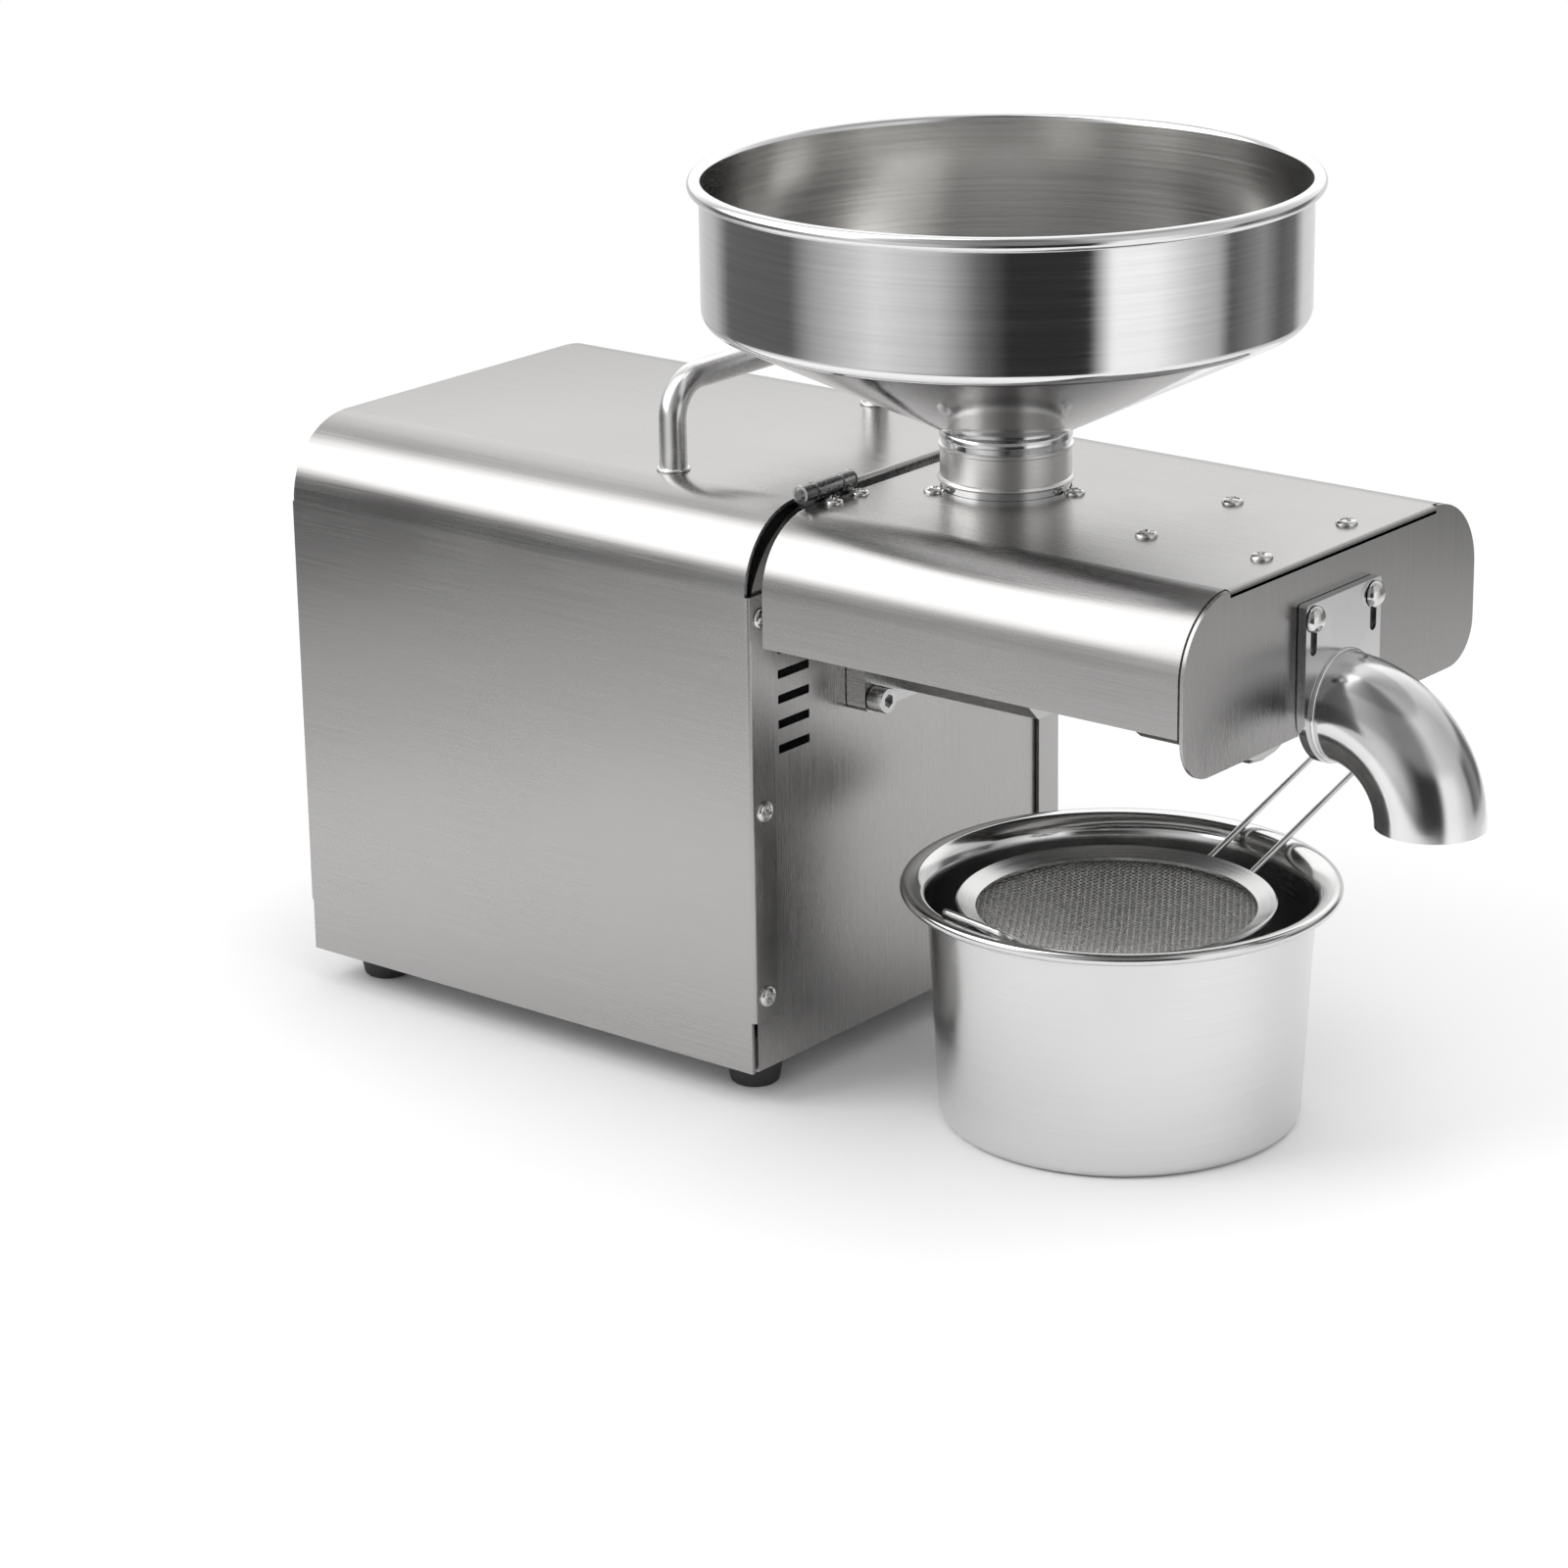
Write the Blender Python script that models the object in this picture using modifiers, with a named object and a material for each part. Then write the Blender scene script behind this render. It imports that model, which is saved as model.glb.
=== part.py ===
"""Screw oil press: a table-top machine that crushes seeds with a turning screw.

Metres, +Z up. X runs across the machine, the press head points to -Y and the
fan end to +Y. The origin is on the table, under the middle of the machine.
"""

import math

import bmesh
import bpy
from mathutils import Vector

# Clearances and sheet metal
FIT_GAP = 0.0003
WELD_DISTANCE = 0.00001
CUT_OVERRUN = 0.002
SHEET = 0.0012
SHEET_BEND_RADIUS = 0.0015
CORNER_STEPS = 8
SMOOTH_ANGLE_DEG = 32

# Body: the folded cover, the panels and the base that carry the drive
BODY_WIDTH = 0.170
BODY_LENGTH = 0.202
BODY_HEIGHT = 0.190
BODY_CORNER_RADIUS = 0.027
SIDE_TAB_WIDTH = 0.0125
SIDE_TAB_BOTTOM = 0.018
TOP_TAB_HEIGHT = 0.0096
BASE_THICKNESS = 0.0015
BASE_FLANGE_HEIGHT = 0.012
FOOT_HEIGHT = 0.0115
FOOT_TOP_RADIUS = 0.0100
FOOT_BOTTOM_RADIUS = 0.0082
FOOT_EDGE_RADIUS = 0.0012
FOOT_RECESS_RADIUS = 0.0042
FOOT_RECESS_DEPTH = 0.0050
FOOT_SIDE_INSET = 0.020
FOOT_END_INSET = 0.017

# Carry handle on top of the body
HANDLE_TUBE_RADIUS = 0.0046
HANDLE_HALF_SPAN = 0.054
HANDLE_HEIGHT = 0.034
HANDLE_BEND_RADIUS = 0.013
HANDLE_FROM_FRONT = 0.056

# Vents in the front panel
VENT_COUNT = 6
VENT_WIDTH = 0.016
VENT_HEIGHT = 0.0030
VENT_PITCH = 0.00845
VENT_FROM_SIDE = 0.0162
VENT_LOWEST = 0.1080

# Fan grille in the rear panel, and the drive axes above the underside
PETAL_COUNT = 20
PETAL_INNER_RADIUS = 0.0105
PETAL_OUTER_RADIUS = 0.0385
PETAL_TIP_RADIUS = 0.0029
PETAL_ROOT_HALF_WIDTH = 0.0009
PETAL_TIP_STEPS = 3
MOTOR_AXIS_HEIGHT = 0.091
PRESS_AXIS_HEIGHT = 0.1415

# Mains inlet and the two rocker switches
INLET_X = 0.057
INLET_HEIGHT = 0.0325
INLET_SCREW_SPACING = 0.040
INLET_EAR_RADIUS = 0.0055
INLET_BLOCK_WIDTH = 0.0225
INLET_BLOCK_HEIGHT = 0.0300
INLET_CORNER_RADIUS = 0.0020
INLET_FLANGE = 0.0030
INLET_RIM = 0.0030
INLET_CAVITY_WIDTH = 0.0165
INLET_CAVITY_HEIGHT = 0.0240
INLET_CAVITY_CHAMFER = 0.0050
INLET_CAVITY_DEPTH = 0.0165
INLET_BACK_DEPTH = 0.0180
PIN_WIDTH = 0.0040
PIN_THICKNESS = 0.0020
PIN_LENGTH = 0.0235
PIN_TIP_INSET = 0.0030
PIN_PITCH = 0.0070
PIN_OFFSET = 0.0020
SWITCH_X = 0.051
SWITCH_HEIGHT = 0.157
SWITCH_BEZEL_WIDTH = 0.0150
SWITCH_BEZEL_HEIGHT = 0.0215
SWITCH_BEZEL = 0.0020
SWITCH_BODY_WIDTH = 0.0130
SWITCH_BODY_HEIGHT = 0.0195
SWITCH_BODY_DEPTH = 0.0120
SWITCH_OPENING_WIDTH = 0.0110
SWITCH_OPENING_HEIGHT = 0.0186
SWITCH_OPENING_DEPTH = 0.0080
ROCKER_HALF_LENGTH = 0.0079
ROCKER_END_HEIGHT = 0.0058
ROCKER_CENTRE_HEIGHT = 0.0041
ROCKER_SKIRT = 0.0018
ROCKER_PIVOT_DEPTH = 0.0022
ROCKER_AXLE_RADIUS = 0.0010
ROCKER_TILT_DEG = 12.0

# Press: barrel, cage, screw and the outlet parts, from the front panel forward
BARREL_ACROSS_FLATS = 0.053
BARREL_LENGTH = 0.060
BARREL_FLANGE_WIDTH = 0.067
BARREL_FLANGE_HEIGHT = 0.0580
BARREL_FLANGE = 0.0065
BARREL_FLANGE_CORNER = 0.0030
FLANGE_BOLT_X = 0.0290
FLANGE_BOLT_Z = 0.0245
BOLT_SHANK_RADIUS = 0.0025
BOLT_HEAD_RADIUS = 0.0043
BOLT_HEAD_LENGTH = 0.0060
BOLT_LENGTH = 0.0140
BOLT_SOCKET_RADIUS = 0.0024
BOLT_SOCKET_DEPTH = 0.0030
DRIP_HOLE_RADIUS = 0.0032
DRIP_HOLE_FORWARD = 0.038
BORE_RADIUS = 0.0193
FEED_THROAT_RADIUS = 0.0180
CAGE_RADIUS = 0.0220
CAGE_COLLAR_RADIUS = 0.0250
CAGE_COLLAR_LENGTH = 0.0060
CAGE_LENGTH = 0.0680
CAGE_SLOT_PAIRS = 6
CAGE_SLOT_WIDTH = 0.0016
CAGE_SLOT_LENGTH = 0.030
CAGE_SLOT_START = 0.0095
HEATER_RADIUS = 0.0270
HEATER_LENGTH = 0.0190
HEATER_START = 0.102
HEATER_SPLIT = 0.0030
HEATER_EAR = 0.0060
NUT_RADIUS = 0.0280
NUT_START = 0.1223
NUT_LENGTH = 0.0180
NUT_LIP = 0.0045
NUT_SLOT = 0.0050
NUT_SLOT_COUNT = 4
NOZZLE_RADIUS = 0.0137
NOZZLE_BORE_RADIUS = 0.0105
NOZZLE_FLANGE_RADIUS = 0.0212
NOZZLE_END = 0.1570
SCREW_ROOT_START_RADIUS = 0.0110
SCREW_ROOT_END_RADIUS = 0.0165
SCREW_FLIGHT_RADIUS = 0.0188
SCREW_FLIGHT_THICKNESS = 0.0040
SCREW_FLIGHT_START = 0.0175
SCREW_FLIGHT_END = 0.1225
SCREW_FLIGHT_SINK = 0.0010
SCREW_TURNS = 5.5
SCREW_STEPS_PER_TURN = 12
SCREW_PITCH_EASE_SHARE = 0.35
SCREW_TIP_RADIUS = 0.0080
SCREW_TIP_END = 0.150
SCREW_TAIL_RADIUS = 0.0052
SCREW_TAIL_LENGTH = 0.0120

# Gear train and shafts behind the front panel
PRESSURE_ANGLE_DEG = 20.0
ADDENDUM_SHARE = 0.62
DEDENDUM_SHARE = 0.95
TOOTH_THICKNESS_SHARE = 0.40
FIRST_MODULE = 0.0012
MOTOR_PINION_TEETH = 10
FIRST_GEAR_TEETH = 60
SECOND_MODULE = 0.0015
SECOND_PINION_TEETH = 10
OUTPUT_GEAR_TEETH = 50
FIRST_GEAR_WIDTH = 0.0100
OUTPUT_GEAR_WIDTH = 0.0140
GEAR_SIDE_GAP = 0.0015
GEAR_TIP_GAP = 0.0012
CASE_WALL = 0.0048
CASE_FRONT_WALL = 0.0120
CASE_CORNER_RADIUS = 0.0120
CASE_COVER = 0.0050
SHAFT_SEAT = 0.0035
BEARING_RADIUS = 0.0175
BEARING_WIDTH = 0.0090
OUTPUT_SHAFT_RADIUS = 0.0090
OUTPUT_STUB_RADIUS = 0.0050
OUTPUT_SHAFT_FORWARD = 0.0130
IDLER_SHAFT_RADIUS = 0.0040


# Motor, its fan, the saddle it lies in and the control board
MOTOR_RADIUS = 0.042
MOTOR_BELL_RADIUS = 0.037
MOTOR_BELL_LENGTH = 0.016
MOTOR_LENGTH = 0.112
MOTOR_BOSS_RADIUS = 0.012
MOTOR_BOSS_LENGTH = 0.004
MOTOR_SHAFT_RADIUS = 0.0040
FAN_RADIUS = 0.036
FAN_HUB_RADIUS = 0.0100
FAN_LENGTH = 0.0120
FAN_PLATE = 0.0020
FAN_PLATE_SHARE = 0.8
FAN_BLADES = 7
FAN_BLADE_THICKNESS = 0.0016
FAN_BLADE_SWEEP_DEG = 34.0
FAN_FROM_MOTOR = 0.0070
SADDLE_HALF_WIDTH = 0.034
SADDLE_LENGTH = 0.026
SADDLE_REACH = 0.020
BOARD_WIDTH = 0.044
BOARD_LENGTH = 0.090
BOARD_THICKNESS = 0.0016
BOARD_LIFT = 0.0060
BOARD_X = -0.0585
BOARD_FROM_REAR = 0.035
BOARD_POST_RADIUS = 0.0030

# Hinged cover over the press head
COVER_WIDTH = 0.166
COVER_TOP = 0.188
COVER_WALL_BOTTOM = 0.1468
COVER_PLATE_BOTTOM = 0.1318
COVER_CORNER_RADIUS = 0.0245
COVER_PLATE_RADIUS = 0.0140
COVER_START = 0.0041
COVER_END = 0.165
COVER_RELIEF = 0.0008
COVER_NOTCH_HALF_WIDTH = 0.0195
HINGE_X = 0.0478
HINGE_LENGTH = 0.0255
HINGE_KNUCKLE_RADIUS = 0.0027
HINGE_MIDDLE_SHARE = 0.5
HINGE_PIN_RADIUS = 0.0012
HINGE_PIN_HEAD = 0.0010
HINGE_LEAF = 0.0010
HINGE_BODY_LEAF_DROP = 0.0115
HINGE_COVER_LEAF_LENGTH = 0.0150
HINGE_FORWARD = 0.0024
HINGE_RISE = 0.0020
COLLAR_RADIUS = 0.0300
COLLAR_THICKNESS = 0.0030
SUPPORT_HALF_WIDTH = 0.0310
SUPPORT_START = 0.103
SUPPORT_END = 0.1605
SUPPORT_DROP = 0.0330

# Hopper
HOPPER_FORWARD = 0.039
HOPPER_RIM_HEIGHT = 0.2906
HOPPER_RIM_RADIUS = 0.1014
HOPPER_BEAD_RADIUS = 0.0024
HOPPER_WALL = 0.0010
HOPPER_CONE_TOP = 0.2453
HOPPER_SHOULDER_RADIUS = 0.0050
HOPPER_CONE_BOTTOM = 0.2067
HOPPER_THROAT_RADIUS = 0.0198
NECK_RADIUS = 0.0210
HOPPER_STEPS = 36
HOPPER_ARC_STEPS = 2

# Cake outlet: a slotted plate with a welded elbow
OUTLET_PLATE = 0.0030
OUTLET_PLATE_HALF_WIDTH = 0.0213
OUTLET_PLATE_TOP = 0.1745
OUTLET_PLATE_ROUND_HEIGHT = 0.1403
OUTLET_AXIS_HEIGHT = 0.1375
OUTLET_TUBE_RADIUS = 0.0175
OUTLET_TUBE_WALL = 0.0015
OUTLET_BEND_RADIUS = 0.033
OUTLET_BEND_STEPS = 8
OUTLET_SLOT_X = 0.0170
OUTLET_SLOT_WIDTH = 0.0036
OUTLET_SCREW_HEIGHT = 0.1695
OUTLET_TRAVEL = 0.0100
OUTLET_SCREW_HEAD_RADIUS = 0.0043
OUTLET_SCREW_HEAD_HEIGHT = 0.0030
OUTLET_SCREW_SHANK_RADIUS = 0.0015

# Oil pot and strainer
POT_X = -0.0136
POT_FORWARD = 0.095
POT_HEIGHT = 0.0803
POT_RIM_RADIUS = 0.0715
POT_BEAD_RADIUS = 0.0018
POT_TOP_RADIUS = 0.0617
POT_BOTTOM_RADIUS = 0.0592
POT_EDGE_RADIUS = 0.0040
POT_WALL = 0.0010
POT_STEPS = 32
POT_ARC_STEPS = 3
STRAINER_SINK = 0.0061
STRAINER_SHIFT = 0.0020
STRAINER_RADIUS = 0.0520
STRAINER_BAND = 0.0065
STRAINER_BAND_DROP = 0.0025
STRAINER_BAND_THICKNESS = 0.0010
MESH_THICKNESS = 0.0008
MESH_SAG = 0.0060
STRAINER_STEPS = 28
STRAINER_WIRE_RADIUS = 0.0011
STRAINER_TURN_DEG = -12.0
STRAINER_HANDLE_HALF_GAP = 0.0098
STRAINER_HANDLE_REACH = 0.0585
STRAINER_HANDLE_RISE_SHARE = 0.53
REST_HALF_WIDTH = 0.0150
REST_REACH = 0.0112

# Places worked out from the sizes above
PANEL_FACE = SHEET + FIT_GAP
INLET_PROUD = INLET_FLANGE + INLET_RIM
FRONT_REACH = COVER_END + FIT_GAP + OUTLET_PLATE + OUTLET_BEND_RADIUS + OUTLET_TUBE_RADIUS
REAR_REACH = BODY_LENGTH - PANEL_FACE + FIT_GAP + INLET_PROUD
BODY_FRONT = (FRONT_REACH - REAR_REACH) / 2
BODY_REAR = BODY_FRONT + BODY_LENGTH
UNDERSIDE = FOOT_HEIGHT + FIT_GAP
BODY_TOP = UNDERSIDE + BODY_HEIGHT
PRESS_Z = UNDERSIDE + PRESS_AXIS_HEIGHT
MOTOR_Z = UNDERSIDE + MOTOR_AXIS_HEIGHT
HINGE_Y = BODY_FRONT - HINGE_FORWARD
HINGE_Z = BODY_TOP + HINGE_RISE
OUTLET_Z = UNDERSIDE + OUTLET_AXIS_HEIGHT


def remove_startup_objects():
    for obj in list(bpy.data.objects):
        bpy.data.objects.remove(obj)


def new_collection(name):
    collection = bpy.data.collections.new(name)
    bpy.context.scene.collection.children.link(collection)
    return collection


remove_startup_objects()
PARTS = new_collection("screw_oil_press")
CUTTERS = new_collection("cutters")


def make_material(name, colour, roughness, metallic):
    material = bpy.data.materials.new(name)
    material.use_nodes = True
    shader = material.node_tree.nodes["Principled BSDF"]
    shader.inputs["Base Color"].default_value = (*colour, 1.0)
    shader.inputs["Roughness"].default_value = roughness
    shader.inputs["Metallic"].default_value = metallic
    return material


BRUSHED_STEEL = make_material("brushed_steel", (0.56, 0.55, 0.54), 0.34, 1.0)
POLISHED_STEEL = make_material("polished_steel", (0.72, 0.72, 0.71), 0.12, 1.0)
SATIN_STEEL = make_material("satin_steel", (0.66, 0.66, 0.66), 0.26, 1.0)
CAST_STEEL = make_material("cast_steel", (0.45, 0.45, 0.45), 0.45, 1.0)
ZINC_STEEL = make_material("zinc_steel", (0.62, 0.62, 0.60), 0.30, 1.0)
CAST_ALUMINIUM = make_material("cast_aluminium", (0.58, 0.58, 0.58), 0.55, 1.0)
GEAR_STEEL = make_material("gear_steel", (0.40, 0.40, 0.41), 0.35, 1.0)
BLACK_RUBBER = make_material("black_rubber", (0.02, 0.02, 0.02), 0.75, 0.0)
BLACK_PLASTIC = make_material("black_plastic", (0.03, 0.03, 0.03), 0.40, 0.0)
RED_PLASTIC = make_material("red_plastic", (0.55, 0.02, 0.02), 0.18, 0.0)
MOTOR_PAINT = make_material("motor_paint", (0.06, 0.06, 0.07), 0.50, 0.0)
BOARD_GREEN = make_material("board_green", (0.02, 0.16, 0.06), 0.45, 0.0)


def finish_solid(obj, material):
    """Give the solid its material and smooth its round faces."""
    obj.data.materials.clear()
    obj.data.materials.append(material)
    obj.data.shade_smooth()
    obj.data.set_sharp_from_angle(angle=math.radians(SMOOTH_ANGLE_DEG))
    return obj


def own(obj, name, location=(0, 0, 0), rotation=(0, 0, 0), cutter=False):
    """Name the object, put it in its place and file it as a part or a cutter."""
    obj.name = name
    obj.location = location
    obj.rotation_euler = rotation
    for collection in list(obj.users_collection):
        collection.objects.unlink(obj)
    (CUTTERS if cutter else PARTS).objects.link(obj)
    if cutter:
        obj.hide_render = True
        obj.display_type = "WIRE"
    return obj


def box(name, size, location, rotation=(0, 0, 0), cutter=False):
    bpy.ops.mesh.primitive_cube_add(size=1)
    obj = bpy.context.object
    obj.scale = size
    bpy.ops.object.transform_apply(location=False, rotation=False, scale=True)
    return own(obj, name, location, rotation, cutter)


FACING = {
    "x": (0, math.pi / 2, 0),
    "y": (math.pi / 2, 0, 0),
    "z": (0, 0, 0),
}


def rod(name, radius, length, location, axis, steps=24, cutter=False):
    bpy.ops.mesh.primitive_cylinder_add(vertices=steps, radius=radius, depth=length)
    return own(bpy.context.object, name, location, FACING[axis], cutter)


def arc(centre, radius, start_deg, end_deg, steps=CORNER_STEPS):
    """Points on a round stretch of an outline, both ends included."""
    points = []
    for step in range(steps + 1):
        angle = math.radians(start_deg + (end_deg - start_deg) * step / steps)
        points.append((centre[0] + radius * math.cos(angle), centre[1] + radius * math.sin(angle)))
    return points


def circle(centre, radius, steps=24):
    return arc(centre, radius, 0, 360, steps)[:-1]


def rounded_rectangle(centre, width, height, radius, steps=4):
    x, z = width / 2 - radius, height / 2 - radius
    corners = ((x, z, 0), (-x, z, 90), (-x, -z, 180), (x, -z, 270))
    points = []
    for dx, dz, start in corners:
        points += arc((centre[0] + dx, centre[1] + dz), radius, start, start + 90, steps)
    return points


def arch(half_width, bottom, top, radius):
    """Outline of an upside-down U: straight sides and two round top corners."""
    left = arc((-half_width + radius, top - radius), radius, 180, 90)
    right = arc((half_width - radius, top - radius), radius, 90, 0)
    return [(-half_width, bottom)] + left + right + [(half_width, bottom)]


def solid_from_curve(curve_object, name, cutter):
    """Turn a curve object into one welded, closed mesh object in the same place."""
    bpy.context.view_layer.update()
    graph = bpy.context.evaluated_depsgraph_get()
    mesh = bpy.data.meshes.new_from_object(curve_object.evaluated_get(graph))
    body = bmesh.new()
    body.from_mesh(mesh)
    bmesh.ops.remove_doubles(body, verts=body.verts, dist=WELD_DISTANCE)
    bmesh.ops.recalc_face_normals(body, faces=body.faces)
    body.to_mesh(mesh)
    body.free()
    solid = bpy.data.objects.new(name, mesh)
    location = curve_object.location.copy()
    rotation = curve_object.rotation_euler.copy()
    curve = curve_object.data
    bpy.data.objects.remove(curve_object)
    bpy.data.curves.remove(curve)
    PARTS.objects.link(solid)
    return own(solid, name, location, rotation, cutter)


def flat(name, outlines, thickness, location, facing="y", cutter=False):
    """A flat outline, with any holes in it, thickened about its location.

    Facing y: the outline's points are (x, z). Facing z: (x, y). Facing side: (y, z).
    """
    curve = bpy.data.curves.new(name, "CURVE")
    curve.dimensions = "2D"
    curve.fill_mode = "BOTH"
    curve.extrude = thickness / 2
    for outline in outlines:
        spline = curve.splines.new("POLY")
        spline.points.add(len(outline) - 1)
        spline.use_cyclic_u = True
        for point, (u, v) in zip(spline.points, outline):
            point.co = (u, v, 0, 1)
    obj = bpy.data.objects.new(name, curve)
    obj.location = location
    obj.rotation_euler = (math.pi / 2, 0, math.pi / 2) if facing == "side" else FACING[facing]
    PARTS.objects.link(obj)
    return solid_from_curve(obj, name, cutter)


def tube(name, points, radius, resolution=3, cutter=False):
    """A round bar or wire along the points, given in the machine's own frame."""
    curve = bpy.data.curves.new(name, "CURVE")
    curve.dimensions = "3D"
    curve.bevel_depth = radius
    curve.bevel_resolution = resolution
    curve.use_fill_caps = True
    spline = curve.splines.new("POLY")
    spline.points.add(len(points) - 1)
    for point, place in zip(spline.points, points):
        point.co = (*place, 1)
    obj = bpy.data.objects.new(name, curve)
    PARTS.objects.link(obj)
    return solid_from_curve(obj, name, cutter)


def turned(name, profile, location, steps, axis="z", closed=False, cutter=False):
    """Turn a profile of (radius, height) points about the axis.

    The profile runs down its outer side. A closed one makes a ring. About y,
    the profile's height runs from the fan end (top) to the outlet end (bottom).
    """
    mesh = bpy.data.meshes.new(name)
    edges = [(index, index + 1) for index in range(len(profile) - 1)]
    if closed:
        edges.append((len(profile) - 1, 0))
    mesh.from_pydata([(radius, 0, height) for radius, height in profile], edges, [])
    obj = bpy.data.objects.new(name, mesh)
    screw = obj.modifiers.new("turn", "SCREW")
    screw.axis = "Z"
    screw.steps = steps
    screw.render_steps = steps
    screw.use_merge_vertices = True
    screw.merge_threshold = WELD_DISTANCE
    screw.use_smooth_shade = True
    PARTS.objects.link(obj)
    rotation = {"z": (0, 0, 0), "y": (-math.pi / 2, 0, 0)}[axis]
    return own(obj, name, location, rotation, cutter)


def apply_modifiers(obj):
    """Replace the object's mesh by what its modifiers make."""
    bpy.context.view_layer.update()
    graph = bpy.context.evaluated_depsgraph_get()
    mesh = bpy.data.meshes.new_from_object(obj.evaluated_get(graph))
    obj.modifiers.clear()
    obj.data = mesh
    return obj


def cut(target, *cutters):
    for cutter in cutters:
        modifier = target.modifiers.new("cut", "BOOLEAN")
        modifier.operation = "DIFFERENCE"
        modifier.solver = "EXACT"
        modifier.object = cutter
    return target


def weld(target, *tools):
    """Join the tools to the target as one metal piece."""
    for tool in tools:
        own(tool, tool.name, tool.location.copy(), tool.rotation_euler.copy(), cutter=True)
        modifier = target.modifiers.new("weld", "BOOLEAN")
        modifier.operation = "UNION"
        modifier.solver = "EXACT"
        modifier.object = tool
    return target


def round_edges(obj, width, segments=2):
    modifier = obj.modifiers.new("edge", "BEVEL")
    modifier.width = width
    modifier.segments = segments
    modifier.limit_method = "ANGLE"
    return obj


def round_fold(obj, radius, bottom):
    """Round the edges of both end faces of a flat-made arch, but for its bottom edge."""
    body = bmesh.new()
    body.from_mesh(obj.data)
    half = max(vert.co.z for vert in body.verts)
    folds = []
    for edge in body.edges:
        first, second = edge.verts[0].co, edge.verts[1].co
        on_end = abs(abs(first.z) - half) < WELD_DISTANCE and abs(first.z - second.z) < WELD_DISTANCE
        on_bottom = max(first.y, second.y) < bottom + WELD_DISTANCE
        if on_end and not on_bottom and edge.calc_face_angle(0) > math.radians(SMOOTH_ANGLE_DEG):
            folds.append(edge)
    bmesh.ops.bevel(body, geom=folds, offset=radius, segments=2, profile=0.5, affect="EDGES")
    body.to_mesh(obj.data)
    body.free()
    return obj


def forward(distance):
    """The y of a place that lies this far in front of the body."""
    return BODY_FRONT - distance


# Body cover


def build_body_cover():
    """Folded sheet: two sides and the top, with screw tabs turned in at both ends."""
    half = BODY_WIDTH / 2
    middle = BODY_FRONT + BODY_LENGTH / 2
    outer = arch(half, UNDERSIDE, BODY_TOP, BODY_CORNER_RADIUS)
    cover = flat("body_cover", [outer], BODY_LENGTH, (0, middle, 0))
    round_fold(cover, SHEET_BEND_RADIUS, UNDERSIDE)
    inside = arch(half - SHEET, UNDERSIDE - CUT_OVERRUN, BODY_TOP - SHEET, BODY_CORNER_RADIUS - SHEET)
    hollow = flat("body_hollow", [inside], BODY_LENGTH - 2 * SHEET, (0, middle, 0), cutter=True)
    cut(cover, hollow)
    tab_edge = half - SIDE_TAB_WIDTH
    shoulder = BODY_TOP - BODY_CORNER_RADIUS
    top_tab_half = half - BODY_CORNER_RADIUS
    right = [
        (half + CUT_OVERRUN, UNDERSIDE - CUT_OVERRUN),
        (half + CUT_OVERRUN, UNDERSIDE + SIDE_TAB_BOTTOM),
        (tab_edge, UNDERSIDE + SIDE_TAB_BOTTOM),
        (tab_edge, shoulder),
        (half + CUT_OVERRUN, shoulder),
        (half + CUT_OVERRUN, BODY_TOP + CUT_OVERRUN),
        (top_tab_half, BODY_TOP + CUT_OVERRUN),
        (top_tab_half, BODY_TOP - TOP_TAB_HEIGHT),
    ]
    window = right + [(-x, z) for x, z in reversed(right)]
    depth = 2 * SHEET_BEND_RADIUS
    for end, y in (("front", BODY_FRONT), ("rear", BODY_REAR)):
        cut(cover, flat(f"{end}_window", [window], depth, (0, y, 0), cutter=True))
    finish_solid(cover, BRUSHED_STEEL)


def panel_outline():
    inset = SHEET + FIT_GAP
    return arch(BODY_WIDTH / 2 - inset, UNDERSIDE, BODY_TOP - inset, BODY_CORNER_RADIUS - inset)


def build_front_panel():
    """Front sheet, with vents, the shaft hole and four bolt holes for the barrel."""
    vents = []
    for row in range(VENT_COUNT):
        x = -BODY_WIDTH / 2 + VENT_FROM_SIDE + VENT_WIDTH / 2
        z = UNDERSIDE + VENT_LOWEST + row * VENT_PITCH
        corner = VENT_HEIGHT / 8
        vents.append(rounded_rectangle((x, z), VENT_WIDTH, VENT_HEIGHT, corner, 1))
    holes = [circle((0, PRESS_Z), OUTPUT_SHAFT_RADIUS + 2 * FIT_GAP)]
    for x, z in flange_bolt_places():
        holes.append(circle((x, z), BOLT_SHANK_RADIUS + FIT_GAP, 16))
    y = BODY_FRONT + PANEL_FACE + SHEET / 2
    finish_solid(flat("front_panel", [panel_outline()] + vents + holes, SHEET, (0, y, 0)), BRUSHED_STEEL)


def petal(angle):
    """One slot of the fan grille: narrow at the hub, wide and round at the rim."""
    direction = Vector((math.cos(angle), math.sin(angle)))
    across = Vector((-direction.y, direction.x))
    centre = Vector((0, MOTOR_Z))
    tip_centre = PETAL_OUTER_RADIUS - PETAL_TIP_RADIUS
    root = centre + direction * PETAL_INNER_RADIUS
    points = [tuple(root + across * PETAL_ROOT_HALF_WIDTH)]
    for step in range(PETAL_TIP_STEPS + 1):
        turn = math.pi / 2 - math.pi * step / PETAL_TIP_STEPS
        reach = tip_centre + PETAL_TIP_RADIUS * math.cos(turn)
        points.append(tuple(centre + direction * reach + across * PETAL_TIP_RADIUS * math.sin(turn)))
    points.append(tuple(root - across * PETAL_ROOT_HALF_WIDTH))
    return points


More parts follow.
